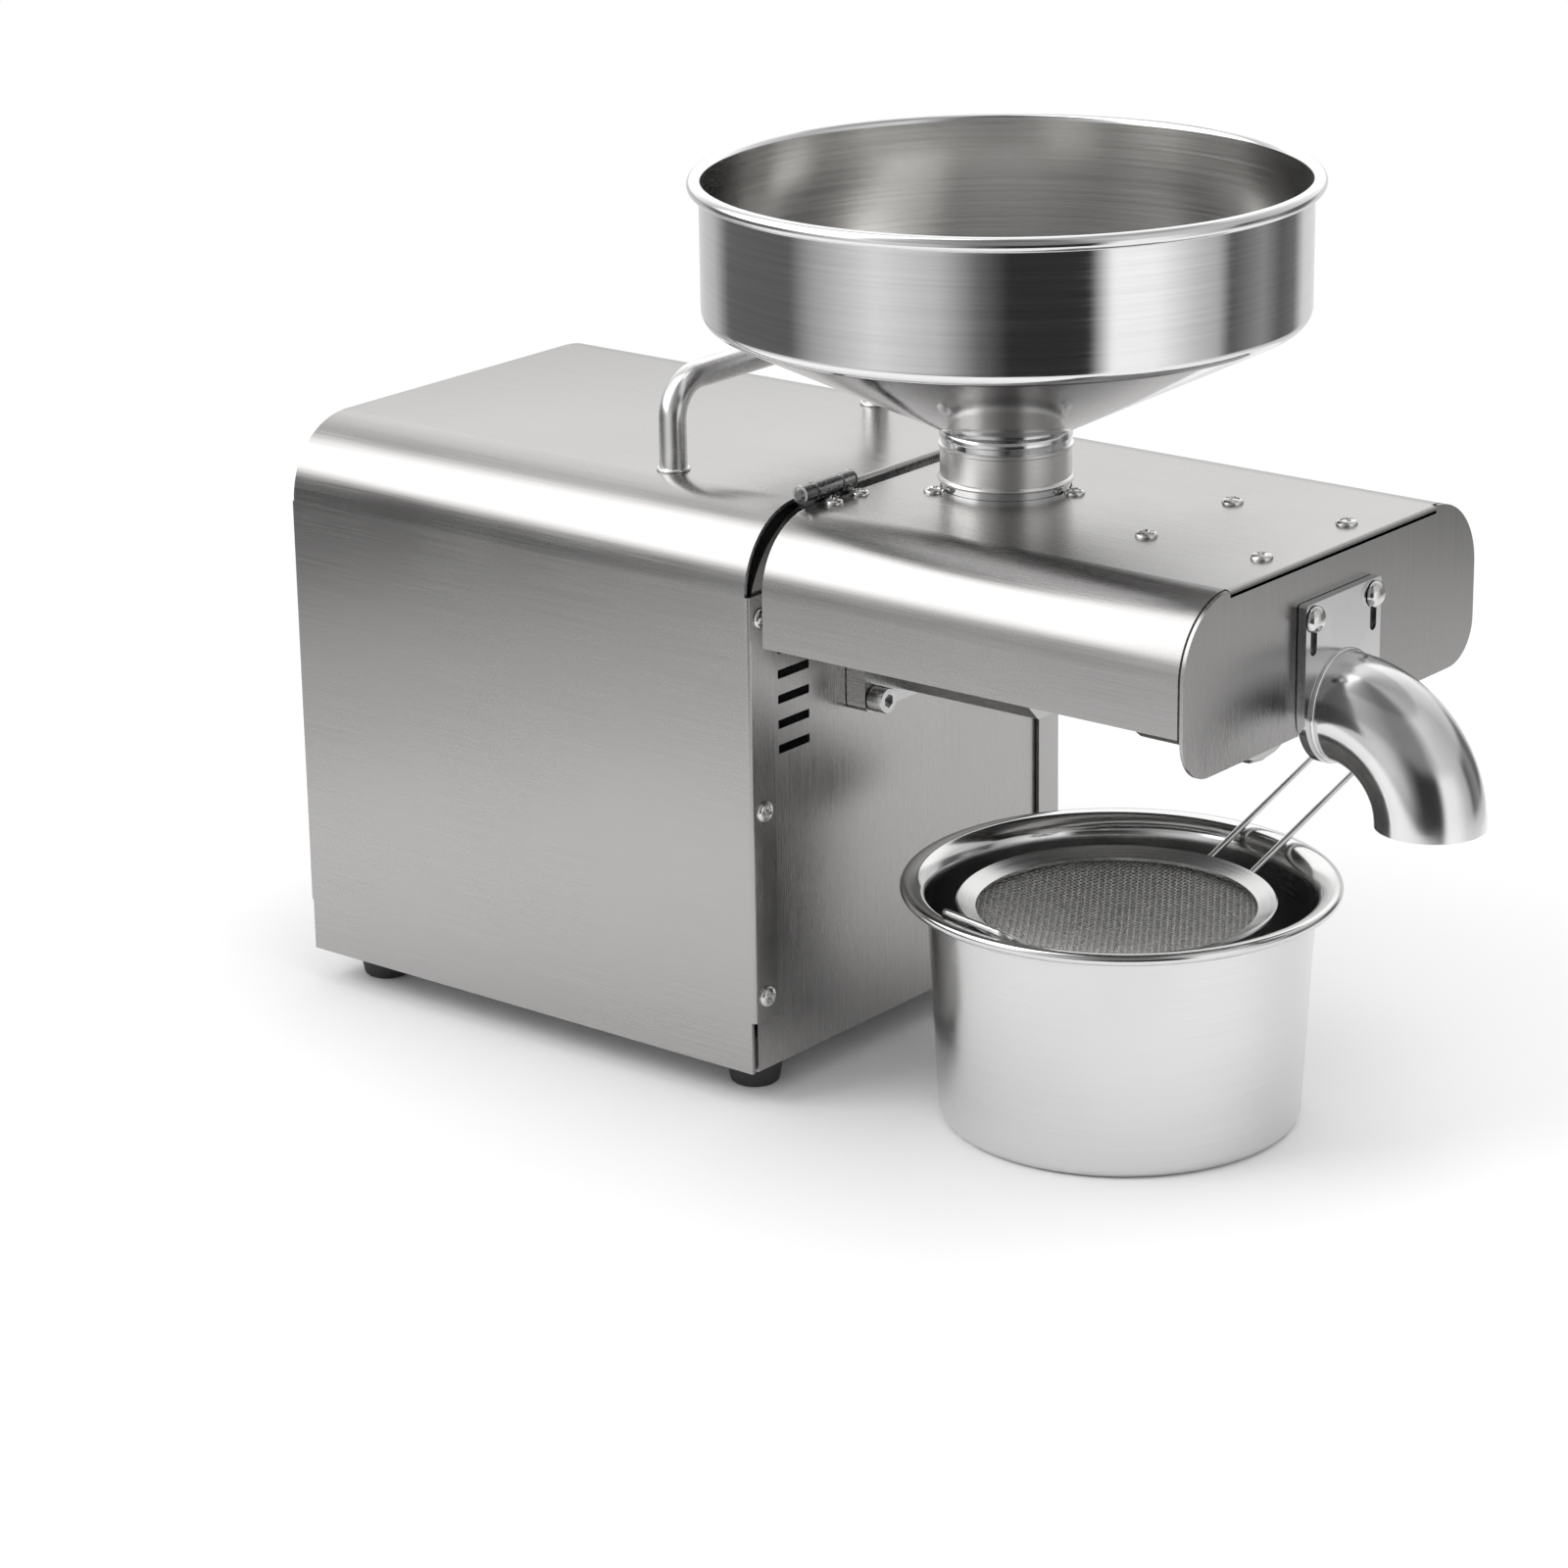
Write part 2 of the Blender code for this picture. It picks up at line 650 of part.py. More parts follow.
def build_rear_panel():
    """Rear sheet, with the fan grille and the openings for switches and inlet."""
    openings = [petal(2 * math.pi * index / PETAL_COUNT) for index in range(PETAL_COUNT)]
    for side in (-1, 1):
        centre = (side * SWITCH_X, UNDERSIDE + SWITCH_HEIGHT)
        width = SWITCH_BODY_WIDTH + 2 * FIT_GAP
        height = SWITCH_BODY_HEIGHT + 2 * FIT_GAP
        openings.append(rounded_rectangle(centre, width, height, FIT_GAP, 1))
    width = INLET_BLOCK_WIDTH - 2 * INLET_CORNER_RADIUS + 2 * FIT_GAP
    height = INLET_BLOCK_HEIGHT - 2 * INLET_CORNER_RADIUS + 2 * FIT_GAP
    openings.append(rounded_rectangle((INLET_X, UNDERSIDE + INLET_HEIGHT), width, height, FIT_GAP, 1))
    y = BODY_REAR - PANEL_FACE - SHEET / 2
    finish_solid(flat("rear_panel", [panel_outline()] + openings, SHEET, (0, y, 0)), BRUSHED_STEEL)


def build_base():
    """Channel that closes the body from below and carries the feet."""
    half = BODY_WIDTH / 2 - SHEET - FIT_GAP
    inner = half - BASE_THICKNESS
    top, floor = UNDERSIDE + BASE_FLANGE_HEIGHT, UNDERSIDE + BASE_THICKNESS
    outline = [
        (-half, UNDERSIDE), (half, UNDERSIDE), (half, top), (inner, top),
        (inner, floor), (-inner, floor), (-inner, top), (-half, top),
    ]
    length = BODY_LENGTH - 2 * (PANEL_FACE + SHEET + FIT_GAP)
    base = flat("base_plate", [outline], length, (0, BODY_FRONT + BODY_LENGTH / 2, 0))
    finish_solid(base, BRUSHED_STEEL)


def build_feet():
    """Tapered rubber feet, each with a deep seat for its screw."""
    profile = [
        (0, FOOT_HEIGHT),
        (FOOT_TOP_RADIUS, FOOT_HEIGHT),
        (FOOT_BOTTOM_RADIUS, FOOT_EDGE_RADIUS),
        (FOOT_BOTTOM_RADIUS - FOOT_EDGE_RADIUS, 0),
        (FOOT_RECESS_RADIUS, 0),
        (FOOT_RECESS_RADIUS, FOOT_RECESS_DEPTH),
        (0, FOOT_RECESS_DEPTH),
    ]
    x = BODY_WIDTH / 2 - FOOT_SIDE_INSET
    ends = (("front", BODY_FRONT + FOOT_END_INSET), ("rear", BODY_REAR - FOOT_END_INSET))
    for end, y in ends:
        for side, sign in (("left", -1), ("right", 1)):
            foot = turned(f"foot_{end}_{side}", profile, (sign * x, y, 0), 14)
            finish_solid(apply_modifiers(foot), BLACK_RUBBER)


def build_carry_handle():
    """One bent tube that stands on the top of the cover."""
    y = BODY_FRONT + HANDLE_FROM_FRONT
    bar = BODY_TOP + HANDLE_HEIGHT - HANDLE_TUBE_RADIUS
    corner_x = HANDLE_HALF_SPAN - HANDLE_BEND_RADIUS
    corner_z = bar - HANDLE_BEND_RADIUS
    path = [(-HANDLE_HALF_SPAN, BODY_TOP + FIT_GAP)]
    path += arc((-corner_x, corner_z), HANDLE_BEND_RADIUS, 180, 90, 5)
    path += arc((corner_x, corner_z), HANDLE_BEND_RADIUS, 90, 0, 5)
    path.append((HANDLE_HALF_SPAN, BODY_TOP + FIT_GAP))
    handle = tube("carry_handle", [(x, y, z) for x, z in path], HANDLE_TUBE_RADIUS, 4)
    finish_solid(handle, SATIN_STEEL)


# Mains inlet and switches on the rear panel


def build_inlet():
    """Mains inlet: a screwed flange round a deep socket with three blades."""
    panel = BODY_REAR - PANEL_FACE
    centre = (INLET_X, UNDERSIDE + INLET_HEIGHT)
    ear_rise = INLET_SCREW_SPACING / 2
    shoulder_x = INLET_BLOCK_WIDTH / 2
    shoulder_z = INLET_BLOCK_HEIGHT / 2 - INLET_EAR_RADIUS
    ear = INLET_EAR_RADIUS * math.cos(math.radians(30))
    ear_z = ear_rise + INLET_EAR_RADIUS * math.sin(math.radians(30))
    upper = arc((0, ear_rise), INLET_EAR_RADIUS, 30, 150, 6)
    half_outline = [(shoulder_x, shoulder_z)] + upper + [(-shoulder_x, shoulder_z)]
    assert ear < shoulder_x and ear_z > shoulder_z
    outline = half_outline + [(-x, -z) for x, z in half_outline]
    flange = [(centre[0] + x, centre[1] + z) for x, z in outline]
    y = panel + FIT_GAP + INLET_FLANGE / 2
    socket = flat("inlet_socket", [flange], INLET_FLANGE, (0, y, 0))
    rim_outline = rounded_rectangle(centre, INLET_BLOCK_WIDTH, INLET_BLOCK_HEIGHT, INLET_CORNER_RADIUS)
    rim_depth = INLET_FLANGE / 2 + INLET_RIM
    rim_y = panel + FIT_GAP + INLET_FLANGE / 2 + rim_depth / 2
    rim = flat("inlet_rim", [rim_outline], rim_depth, (0, rim_y, 0))
    block_size = (
        INLET_BLOCK_WIDTH - 2 * INLET_CORNER_RADIUS,
        INLET_BACK_DEPTH + INLET_FLANGE / 2,
        INLET_BLOCK_HEIGHT - 2 * INLET_CORNER_RADIUS,
    )
    block_y = panel + FIT_GAP + INLET_FLANGE / 2 - block_size[1] / 2
    block = box("inlet_block", block_size, (centre[0], block_y, centre[1]))
    weld(socket, rim, block)
    outside = panel + FIT_GAP + INLET_PROUD
    x, z = INLET_CAVITY_WIDTH / 2, INLET_CAVITY_HEIGHT / 2
    bite = INLET_CAVITY_CHAMFER
    cavity_outline = [(-x, -z), (x - bite, -z), (x, bite - z), (x, z - bite), (x - bite, z), (-x, z)]
    cavity_outline = [(centre[0] + u, centre[1] + v) for u, v in cavity_outline]
    cavity_depth = INLET_CAVITY_DEPTH + CUT_OVERRUN
    cavity_y = outside + CUT_OVERRUN - cavity_depth / 2
    cut(socket, flat("inlet_cavity", [cavity_outline], cavity_depth, (0, cavity_y, 0), cutter=True))
    blades = (("line", -PIN_OFFSET, PIN_PITCH), ("earth", PIN_OFFSET, 0), ("neutral", -PIN_OFFSET, -PIN_PITCH))
    for name, dx, dz in blades:
        place = (centre[0] + dx, outside - PIN_TIP_INSET - PIN_LENGTH / 2, centre[1] + dz)
        slot_size = (PIN_WIDTH + 2 * FIT_GAP, PIN_LENGTH + CUT_OVERRUN, PIN_THICKNESS + 2 * FIT_GAP)
        cut(socket, box(f"{name}_blade_slot", slot_size, place, cutter=True))
        blade = box(f"inlet_{name}_blade", (PIN_WIDTH, PIN_LENGTH, PIN_THICKNESS), place)
        finish_solid(round_edges(blade, PIN_THICKNESS / 5, 1), ZINC_STEEL)
    finish_solid(socket, BLACK_PLASTIC)


def build_switch(name, x, tilt_deg, material):
    """Snap-in rocker switch: a bezel with its box behind, and the rocker on its axle."""
    panel = BODY_REAR - PANEL_FACE
    centre = (x, UNDERSIDE + SWITCH_HEIGHT)
    bezel_outline = rounded_rectangle(centre, SWITCH_BEZEL_WIDTH, SWITCH_BEZEL_HEIGHT, SWITCH_BEZEL / 2, 2)
    bezel_y = panel + FIT_GAP + SWITCH_BEZEL / 2
    body = flat(f"{name}_switch", [bezel_outline], SWITCH_BEZEL, (0, bezel_y, 0))
    depth = SWITCH_BODY_DEPTH + SWITCH_BEZEL / 2
    rear_box = box(
        f"{name}_switch_box",
        (SWITCH_BODY_WIDTH, depth, SWITCH_BODY_HEIGHT),
        (x, bezel_y - depth / 2, centre[1]),
    )
    weld(body, rear_box)
    outside = panel + FIT_GAP + SWITCH_BEZEL
    opening_depth = SWITCH_OPENING_DEPTH + CUT_OVERRUN
    opening = box(
        f"{name}_switch_opening",
        (SWITCH_OPENING_WIDTH, opening_depth, SWITCH_OPENING_HEIGHT),
        (x, outside + CUT_OVERRUN - opening_depth / 2, centre[1]),
        cutter=True,
    )
    pivot = (x, outside - ROCKER_PIVOT_DEPTH, centre[1])
    axle_room = (SWITCH_BODY_WIDTH + SWITCH_OPENING_WIDTH) / 2
    axle_hole = rod(
        f"{name}_axle_hole", ROCKER_AXLE_RADIUS + FIT_GAP, axle_room, pivot, "x", 12, cutter=True
    )
    cut(body, opening, axle_hole)
    finish_solid(body, BLACK_PLASTIC)
    half, low = ROCKER_HALF_LENGTH, ROCKER_SKIRT
    side_view = [
        (-low, -half), (-low, half), (ROCKER_END_HEIGHT, half),
        (ROCKER_CENTRE_HEIGHT, 0), (ROCKER_END_HEIGHT, -half),
    ]
    width = SWITCH_OPENING_WIDTH - 2 * FIT_GAP
    rocker = flat(f"{name}_rocker", [side_view], width, (0, 0, 0), facing="side")
    axle = rod(f"{name}_axle", ROCKER_AXLE_RADIUS, axle_room - 2 * FIT_GAP, (0, 0, 0), "x", 12)
    weld(rocker, axle)
    apply_modifiers(rocker)
    rocker.data.transform(rocker.matrix_world)
    rocker.location = pivot
    rocker.rotation_euler = (math.radians(tilt_deg), 0, 0)
    finish_solid(rocker, material)


# Press


def flange_bolt_places():
    for x in (-FLANGE_BOLT_X, FLANGE_BOLT_X):
        for z in (-FLANGE_BOLT_Z, FLANGE_BOLT_Z):
            yield x, PRESS_Z + z


def build_barrel():
    """Cast feed block: a bolt flange and an eight-sided barrel with its feed throat."""
    back = BODY_FRONT + PANEL_FACE - FIT_GAP
    flange_outline = rounded_rectangle(
        (0, PRESS_Z), BARREL_FLANGE_WIDTH, BARREL_FLANGE_HEIGHT, BARREL_FLANGE_CORNER
    )
    holes = [circle(place, BOLT_SHANK_RADIUS + FIT_GAP, 16) for place in flange_bolt_places()]
    flange_depth = back - forward(BARREL_FLANGE)
    flange_y = back - flange_depth / 2
    barrel = flat("press_barrel", [flange_outline] + holes, flange_depth, (0, flange_y, 0))
    corner = BARREL_ACROSS_FLATS / 2 / math.cos(math.pi / 8)
    eight_sides = [
        (corner * math.cos(math.pi / 8 + math.pi / 4 * side),
         PRESS_Z + corner * math.sin(math.pi / 8 + math.pi / 4 * side))
        for side in range(8)
    ]
    block_back = back - flange_depth / 2
    block_depth = block_back - forward(BARREL_LENGTH)
    block = flat("barrel_block", [eight_sides], block_depth, (0, block_back - block_depth / 2, 0))
    weld(barrel, block)
    bore_depth = BARREL_LENGTH - OUTPUT_SHAFT_FORWARD + CUT_OVERRUN
    bore_y = forward(BARREL_LENGTH + CUT_OVERRUN - bore_depth / 2)
    bore = rod("barrel_bore", BORE_RADIUS, bore_depth, (0, bore_y, PRESS_Z), "y", 28, cutter=True)
    shaft_hole_depth = 2 * BARREL_LENGTH
    shaft_hole = rod(
        "barrel_shaft_hole", OUTPUT_SHAFT_RADIUS + FIT_GAP, shaft_hole_depth,
        (0, forward(0), PRESS_Z), "y", 24, cutter=True,
    )
    throat = rod(
        "feed_throat", FEED_THROAT_RADIUS, BARREL_ACROSS_FLATS,
        (0, forward(HOPPER_FORWARD), PRESS_Z + BARREL_ACROSS_FLATS / 2), "z", 24, cutter=True,
    )
    drip = rod(
        "drip_hole", DRIP_HOLE_RADIUS, BARREL_ACROSS_FLATS / 2,
        (0, forward(DRIP_HOLE_FORWARD), 0), "z", 16, cutter=True,
    )
    middle_of_face = BARREL_ACROSS_FLATS / 2 * math.cos(math.pi / 4)
    drip.location = (-middle_of_face, forward(DRIP_HOLE_FORWARD), PRESS_Z - middle_of_face)
    drip.rotation_euler = (0, math.pi / 4, 0)
    cut(barrel, bore, shaft_hole, throat, drip)
    finish_solid(barrel, CAST_STEEL)


def build_flange_bolts():
    """Socket-head bolts that hold the barrel, through the panel, to the gearbox."""
    under_head = forward(BARREL_FLANGE + FIT_GAP)
    head_top = under_head - BOLT_HEAD_LENGTH
    end = under_head + BOLT_LENGTH
    edge = BOLT_HEAD_RADIUS / 8
    profile = [
        (0, end), (BOLT_SHANK_RADIUS, end), (BOLT_SHANK_RADIUS, under_head),
        (BOLT_HEAD_RADIUS, under_head), (BOLT_HEAD_RADIUS, head_top + edge),
        (BOLT_HEAD_RADIUS - edge, head_top), (0, head_top),
    ]
    names = ("lower_left", "upper_left", "lower_right", "upper_right")
    for name, (x, z) in zip(names, flange_bolt_places()):
        bolt = turned(f"flange_bolt_{name}", profile, (x, 0, z), 12, axis="y")
        depth = BOLT_SOCKET_DEPTH + CUT_OVERRUN
        socket = rod(
            f"bolt_socket_{name}", BOLT_SOCKET_RADIUS, depth,
            (x, head_top - CUT_OVERRUN + depth / 2, z), "y", 6, cutter=True,
        )
        cut(bolt, socket)
        finish_solid(apply_modifiers(bolt), ZINC_STEEL)


def build_cage():
    """Slotted press cage: the oil leaves through the slots between its bars."""
    start = forward(BARREL_LENGTH + FIT_GAP)
    end = start - CAGE_LENGTH
    collar_end = start - CAGE_COLLAR_LENGTH
    profile = [
        (CAGE_COLLAR_RADIUS, start), (CAGE_COLLAR_RADIUS, collar_end),
        (CAGE_RADIUS, collar_end), (CAGE_RADIUS, end), (BORE_RADIUS, end), (BORE_RADIUS, start),
    ]
    cage = turned("press_cage", profile, (0, 0, PRESS_Z), 24, axis="y", closed=True)
    slot_y = start - CAGE_SLOT_START - CAGE_SLOT_LENGTH / 2
    across = 2 * (CAGE_RADIUS + CUT_OVERRUN)
    for pair in range(CAGE_SLOT_PAIRS):
        turn = math.pi * (pair + 0.5) / CAGE_SLOT_PAIRS
        slot = box(
            f"cage_slot_{pair}", (CAGE_SLOT_WIDTH, CAGE_SLOT_LENGTH, across),
            (0, slot_y, PRESS_Z), (0, turn, 0), cutter=True,
        )
        cut(cage, slot)
    finish_solid(cage, CAST_STEEL)


def screw_root_radius(distance):
    """The root grows towards the outlet, which squeezes the seeds harder and harder."""
    share = (distance - SCREW_FLIGHT_START) / (SCREW_FLIGHT_END - SCREW_FLIGHT_START)
    share = min(max(share, 0), 1)
    return SCREW_ROOT_START_RADIUS + (SCREW_ROOT_END_RADIUS - SCREW_ROOT_START_RADIUS) * share


def build_press_screw():
    """Press screw: a growing root, a flight whose pitch shortens, a cone and a hexagon tail."""
    tail_start = OUTPUT_SHAFT_FORWARD + FIT_GAP
    tip_shoulder = SCREW_FLIGHT_END + (SCREW_TIP_END - SCREW_FLIGHT_END) / 4
    root = [
        (0, -tail_start),
        (SCREW_ROOT_START_RADIUS, -tail_start),
        (SCREW_ROOT_START_RADIUS, -SCREW_FLIGHT_START),
        (SCREW_ROOT_END_RADIUS, -SCREW_FLIGHT_END),
        (SCREW_TIP_RADIUS, -tip_shoulder),
        (SCREW_TIP_RADIUS * 0.8, -SCREW_TIP_END),
        (0, -SCREW_TIP_END),
    ]
    screw = turned("press_screw", root, (0, BODY_FRONT, PRESS_Z), 20, axis="y")
    length = SCREW_FLIGHT_END - SCREW_FLIGHT_START
    steps = round(SCREW_TURNS * SCREW_STEPS_PER_TURN)
    body = bmesh.new()
    rings = []
    for step in range(steps + 1):
        share = step / steps
        eased = share + SCREW_PITCH_EASE_SHARE * share * (1 - share)
        middle = SCREW_FLIGHT_START + SCREW_FLIGHT_THICKNESS / 2
        middle += eased * (length - SCREW_FLIGHT_THICKNESS)
        angle = 2 * math.pi * SCREW_TURNS * share
        inner = screw_root_radius(middle) - SCREW_FLIGHT_SINK
        side, crest = SCREW_FLIGHT_THICKNESS / 2, SCREW_FLIGHT_THICKNESS / 4
        corners = ((inner, -side), (SCREW_FLIGHT_RADIUS, -crest), (SCREW_FLIGHT_RADIUS, crest), (inner, side))
        rings.append([
            body.verts.new((radius * math.cos(angle), -middle - along, radius * math.sin(angle)))
            for radius, along in corners
        ])
    for first, second in zip(rings, rings[1:]):
        for corner in range(4):
            after = (corner + 1) % 4
            body.faces.new((first[corner], first[after], second[after], second[corner]))
    body.faces.new(rings[0])
    body.faces.new(reversed(rings[-1]))
    bmesh.ops.recalc_face_normals(body, faces=body.faces)
    mesh = bpy.data.meshes.new("screw_flight")
    body.to_mesh(mesh)
    body.free()
    flight = bpy.data.objects.new("screw_flight", mesh)
    PARTS.objects.link(flight)
    own(flight, "screw_flight", (0, BODY_FRONT, PRESS_Z))
    tail_depth = SCREW_TAIL_LENGTH + CUT_OVERRUN
    tail = rod(
        "screw_tail", SCREW_TAIL_RADIUS, tail_depth,
        (0, forward(tail_start - SCREW_TAIL_LENGTH + tail_depth / 2), PRESS_Z), "y", 6,
    )
    weld(screw, flight, tail)
    finish_solid(screw, CAST_STEEL)


def build_outlet_end():
    """Heater band, ring nut and cake nozzle at the outlet end of the cage."""
    inner = CAGE_RADIUS + FIT_GAP
    start, end = forward(HEATER_START), forward(HEATER_START + HEATER_LENGTH)
    ring = [(HEATER_RADIUS, start), (HEATER_RADIUS, end), (inner, end), (inner, start)]
    heater = turned("heater_band", ring, (0, 0, PRESS_Z), 24, axis="y", closed=True)
    middle = (start + end) / 2
    ear_centre = PRESS_Z + HEATER_RADIUS + HEATER_EAR / 2 - SHEET
    ear_size = (HEATER_SPLIT + 2 * HEATER_EAR / 2, HEATER_LENGTH - HEATER_EAR, HEATER_EAR)
    weld(heater, box("heater_ears", ear_size, (0, middle, ear_centre)))
    split_size = (HEATER_SPLIT, HEATER_LENGTH + 2 * CUT_OVERRUN, 2 * HEATER_EAR + HEATER_RADIUS - inner)
    split_place = (0, middle, PRESS_Z + HEATER_RADIUS + HEATER_EAR / 2)
    cut(heater, box("heater_gap", split_size, split_place, cutter=True))
    finish_solid(heater, ZINC_STEEL)
    nut_start, nut_end = forward(NUT_START), forward(NUT_START + NUT_LENGTH)
    lip_start = nut_end + NUT_LIP
    lip_radius = NOZZLE_RADIUS + FIT_GAP
    edge = SHEET
    nut_profile = [
        (NUT_RADIUS - edge, nut_start), (NUT_RADIUS, nut_start - edge), (NUT_RADIUS, nut_end + edge),
        (NUT_RADIUS - edge, nut_end), (lip_radius, nut_end), (lip_radius, lip_start),
        (inner, lip_start), (inner, nut_start),
    ]
    nut = turned("cage_nut", nut_profile, (0, 0, PRESS_Z), 24, axis="y", closed=True)
    for index in range(NUT_SLOT_COUNT):
        turn = 2 * math.pi * (index + 0.5) / NUT_SLOT_COUNT
        place = (NUT_RADIUS * math.cos(turn), (nut_start + nut_end) / 2, PRESS_Z + NUT_RADIUS * math.sin(turn))
        size = (NUT_SLOT, NUT_LENGTH + 2 * CUT_OVERRUN, NUT_SLOT)
        cut(nut, box(f"nut_slot_{index}", size, place, (0, -turn, 0), cutter=True))
    finish_solid(nut, CAST_STEEL)
    cage_end = forward(BARREL_LENGTH + FIT_GAP + CAGE_LENGTH + FIT_GAP)
    nozzle_end = forward(NOZZLE_END)
    flange_end = lip_start + FIT_GAP
    nozzle_profile = [
        (NOZZLE_FLANGE_RADIUS, cage_end), (NOZZLE_FLANGE_RADIUS, flange_end),
        (NOZZLE_RADIUS, flange_end), (NOZZLE_RADIUS, nozzle_end),
        (NOZZLE_BORE_RADIUS, nozzle_end), (NOZZLE_BORE_RADIUS, cage_end),
    ]
    nozzle = turned("cake_nozzle", nozzle_profile, (0, 0, PRESS_Z), 20, axis="y", closed=True)
    finish_solid(nozzle, CAST_STEEL)


# Gear train


def gear_outline(teeth, module, turn_deg):
    """Stub-tooth gear with straight flanks drawn between two points of the involute."""
    pitch_radius = teeth * module / 2
    base_radius = pitch_radius * math.cos(math.radians(PRESSURE_ANGLE_DEG))
    tip_radius = pitch_radius + ADDENDUM_SHARE * module
    root_radius = pitch_radius - DEDENDUM_SHARE * module
    pitch_angle = 2 * math.pi / teeth

    def involute(radius):
        slope = math.acos(min(base_radius / radius, 1))
        return math.tan(slope) - slope

    half_tooth = pitch_angle * TOOTH_THICKNESS_SHARE / 2 + involute(pitch_radius)
    root_half = half_tooth - involute(max(root_radius, base_radius))
    tip_half = half_tooth - involute(tip_radius)
    points = []
    for tooth in range(teeth):
        middle = math.radians(turn_deg) + tooth * pitch_angle
        corners = ((root_radius, -root_half), (tip_radius, -tip_half), (tip_radius, tip_half), (root_radius, root_half))
        for radius, offset in corners:
            points.append((radius * math.cos(middle + offset), radius * math.sin(middle + offset)))
    return points


FIRST_DISTANCE = FIRST_MODULE * (MOTOR_PINION_TEETH + FIRST_GEAR_TEETH) / 2
SECOND_DISTANCE = SECOND_MODULE * (SECOND_PINION_TEETH + OUTPUT_GEAR_TEETH) / 2
AXIS_RISE = PRESS_AXIS_HEIGHT - MOTOR_AXIS_HEIGHT
IDLER_RISE = (AXIS_RISE ** 2 + FIRST_DISTANCE ** 2 - SECOND_DISTANCE ** 2) / (2 * AXIS_RISE)
IDLER_X = math.sqrt(FIRST_DISTANCE ** 2 - IDLER_RISE ** 2)
IDLER_Z = MOTOR_Z + IDLER_RISE
FIRST_TIP_RADIUS = FIRST_MODULE * (FIRST_GEAR_TEETH / 2 + ADDENDUM_SHARE)
OUTPUT_TIP_RADIUS = SECOND_MODULE * (OUTPUT_GEAR_TEETH / 2 + ADDENDUM_SHARE)
CASE_START = BODY_FRONT + PANEL_FACE + SHEET + FIT_GAP
CHAMBER_START = CASE_START + CASE_FRONT_WALL
OUTPUT_GEAR_START = CHAMBER_START + GEAR_SIDE_GAP
OUTPUT_GEAR_END = OUTPUT_GEAR_START + OUTPUT_GEAR_WIDTH
FIRST_GEAR_START = OUTPUT_GEAR_END + GEAR_SIDE_GAP
FIRST_GEAR_END = FIRST_GEAR_START + FIRST_GEAR_WIDTH
CASE_END = FIRST_GEAR_END + GEAR_SIDE_GAP
COVER_PLATE_START = CASE_END + FIT_GAP
COVER_PLATE_END = COVER_PLATE_START + CASE_COVER
MOTOR_START = COVER_PLATE_END + FIT_GAP


def mesh_turns():
    """Turn of each toothed wheel, so that a tooth of one faces a gap of the other."""
    to_idler = math.degrees(math.atan2(IDLER_Z - MOTOR_Z, IDLER_X))
    to_output = math.degrees(math.atan2(PRESS_Z - IDLER_Z, -IDLER_X))
    return {
        "motor_pinion": to_idler,
        "first_gear": to_idler + 180 + 180 / FIRST_GEAR_TEETH,
        "second_pinion": to_output,
        "output_gear": to_output + 180 + 180 / OUTPUT_GEAR_TEETH,
    }


def build_gears():
    """Two reduction steps: the motor's pinion, the idler shaft and the output gear."""
    turns = mesh_turns()
    first_y = (FIRST_GEAR_START + FIRST_GEAR_END) / 2
    output_y = (OUTPUT_GEAR_START + OUTPUT_GEAR_END) / 2
    bore = circle((0, 0), MOTOR_SHAFT_RADIUS + FIT_GAP, 16)
    outline = gear_outline(MOTOR_PINION_TEETH, FIRST_MODULE, turns["motor_pinion"])
    pinion = flat("motor_pinion", [outline, bore], FIRST_GEAR_WIDTH, (0, first_y, MOTOR_Z))
    finish_solid(pinion, GEAR_STEEL)
    bore = circle((0, 0), IDLER_SHAFT_RADIUS + FIT_GAP, 16)
    outline = gear_outline(FIRST_GEAR_TEETH, FIRST_MODULE, turns["first_gear"])
    first = flat("first_gear", [outline, bore], FIRST_GEAR_WIDTH, (IDLER_X, first_y, IDLER_Z))
    finish_solid(first, GEAR_STEEL)
    idler_start = CHAMBER_START - SHAFT_SEAT
    idler_end = COVER_PLATE_START + SHAFT_SEAT
    idler = rod(
        "idler_shaft", IDLER_SHAFT_RADIUS, idler_end - idler_start,
        (IDLER_X, (idler_start + idler_end) / 2, IDLER_Z), "y", 12,
    )
    outline = gear_outline(SECOND_PINION_TEETH, SECOND_MODULE, turns["second_pinion"])
    teeth = flat("second_pinion", [outline], OUTPUT_GEAR_WIDTH, (IDLER_X, output_y, IDLER_Z))
    weld(idler, teeth)
    finish_solid(idler, GEAR_STEEL)
    bore = circle((0, 0), OUTPUT_SHAFT_RADIUS + FIT_GAP)
    outline = gear_outline(OUTPUT_GEAR_TEETH, SECOND_MODULE, turns["output_gear"])
    output = flat("output_gear", [outline, bore], OUTPUT_GEAR_WIDTH, (0, output_y, PRESS_Z))
    finish_solid(output, GEAR_STEEL)


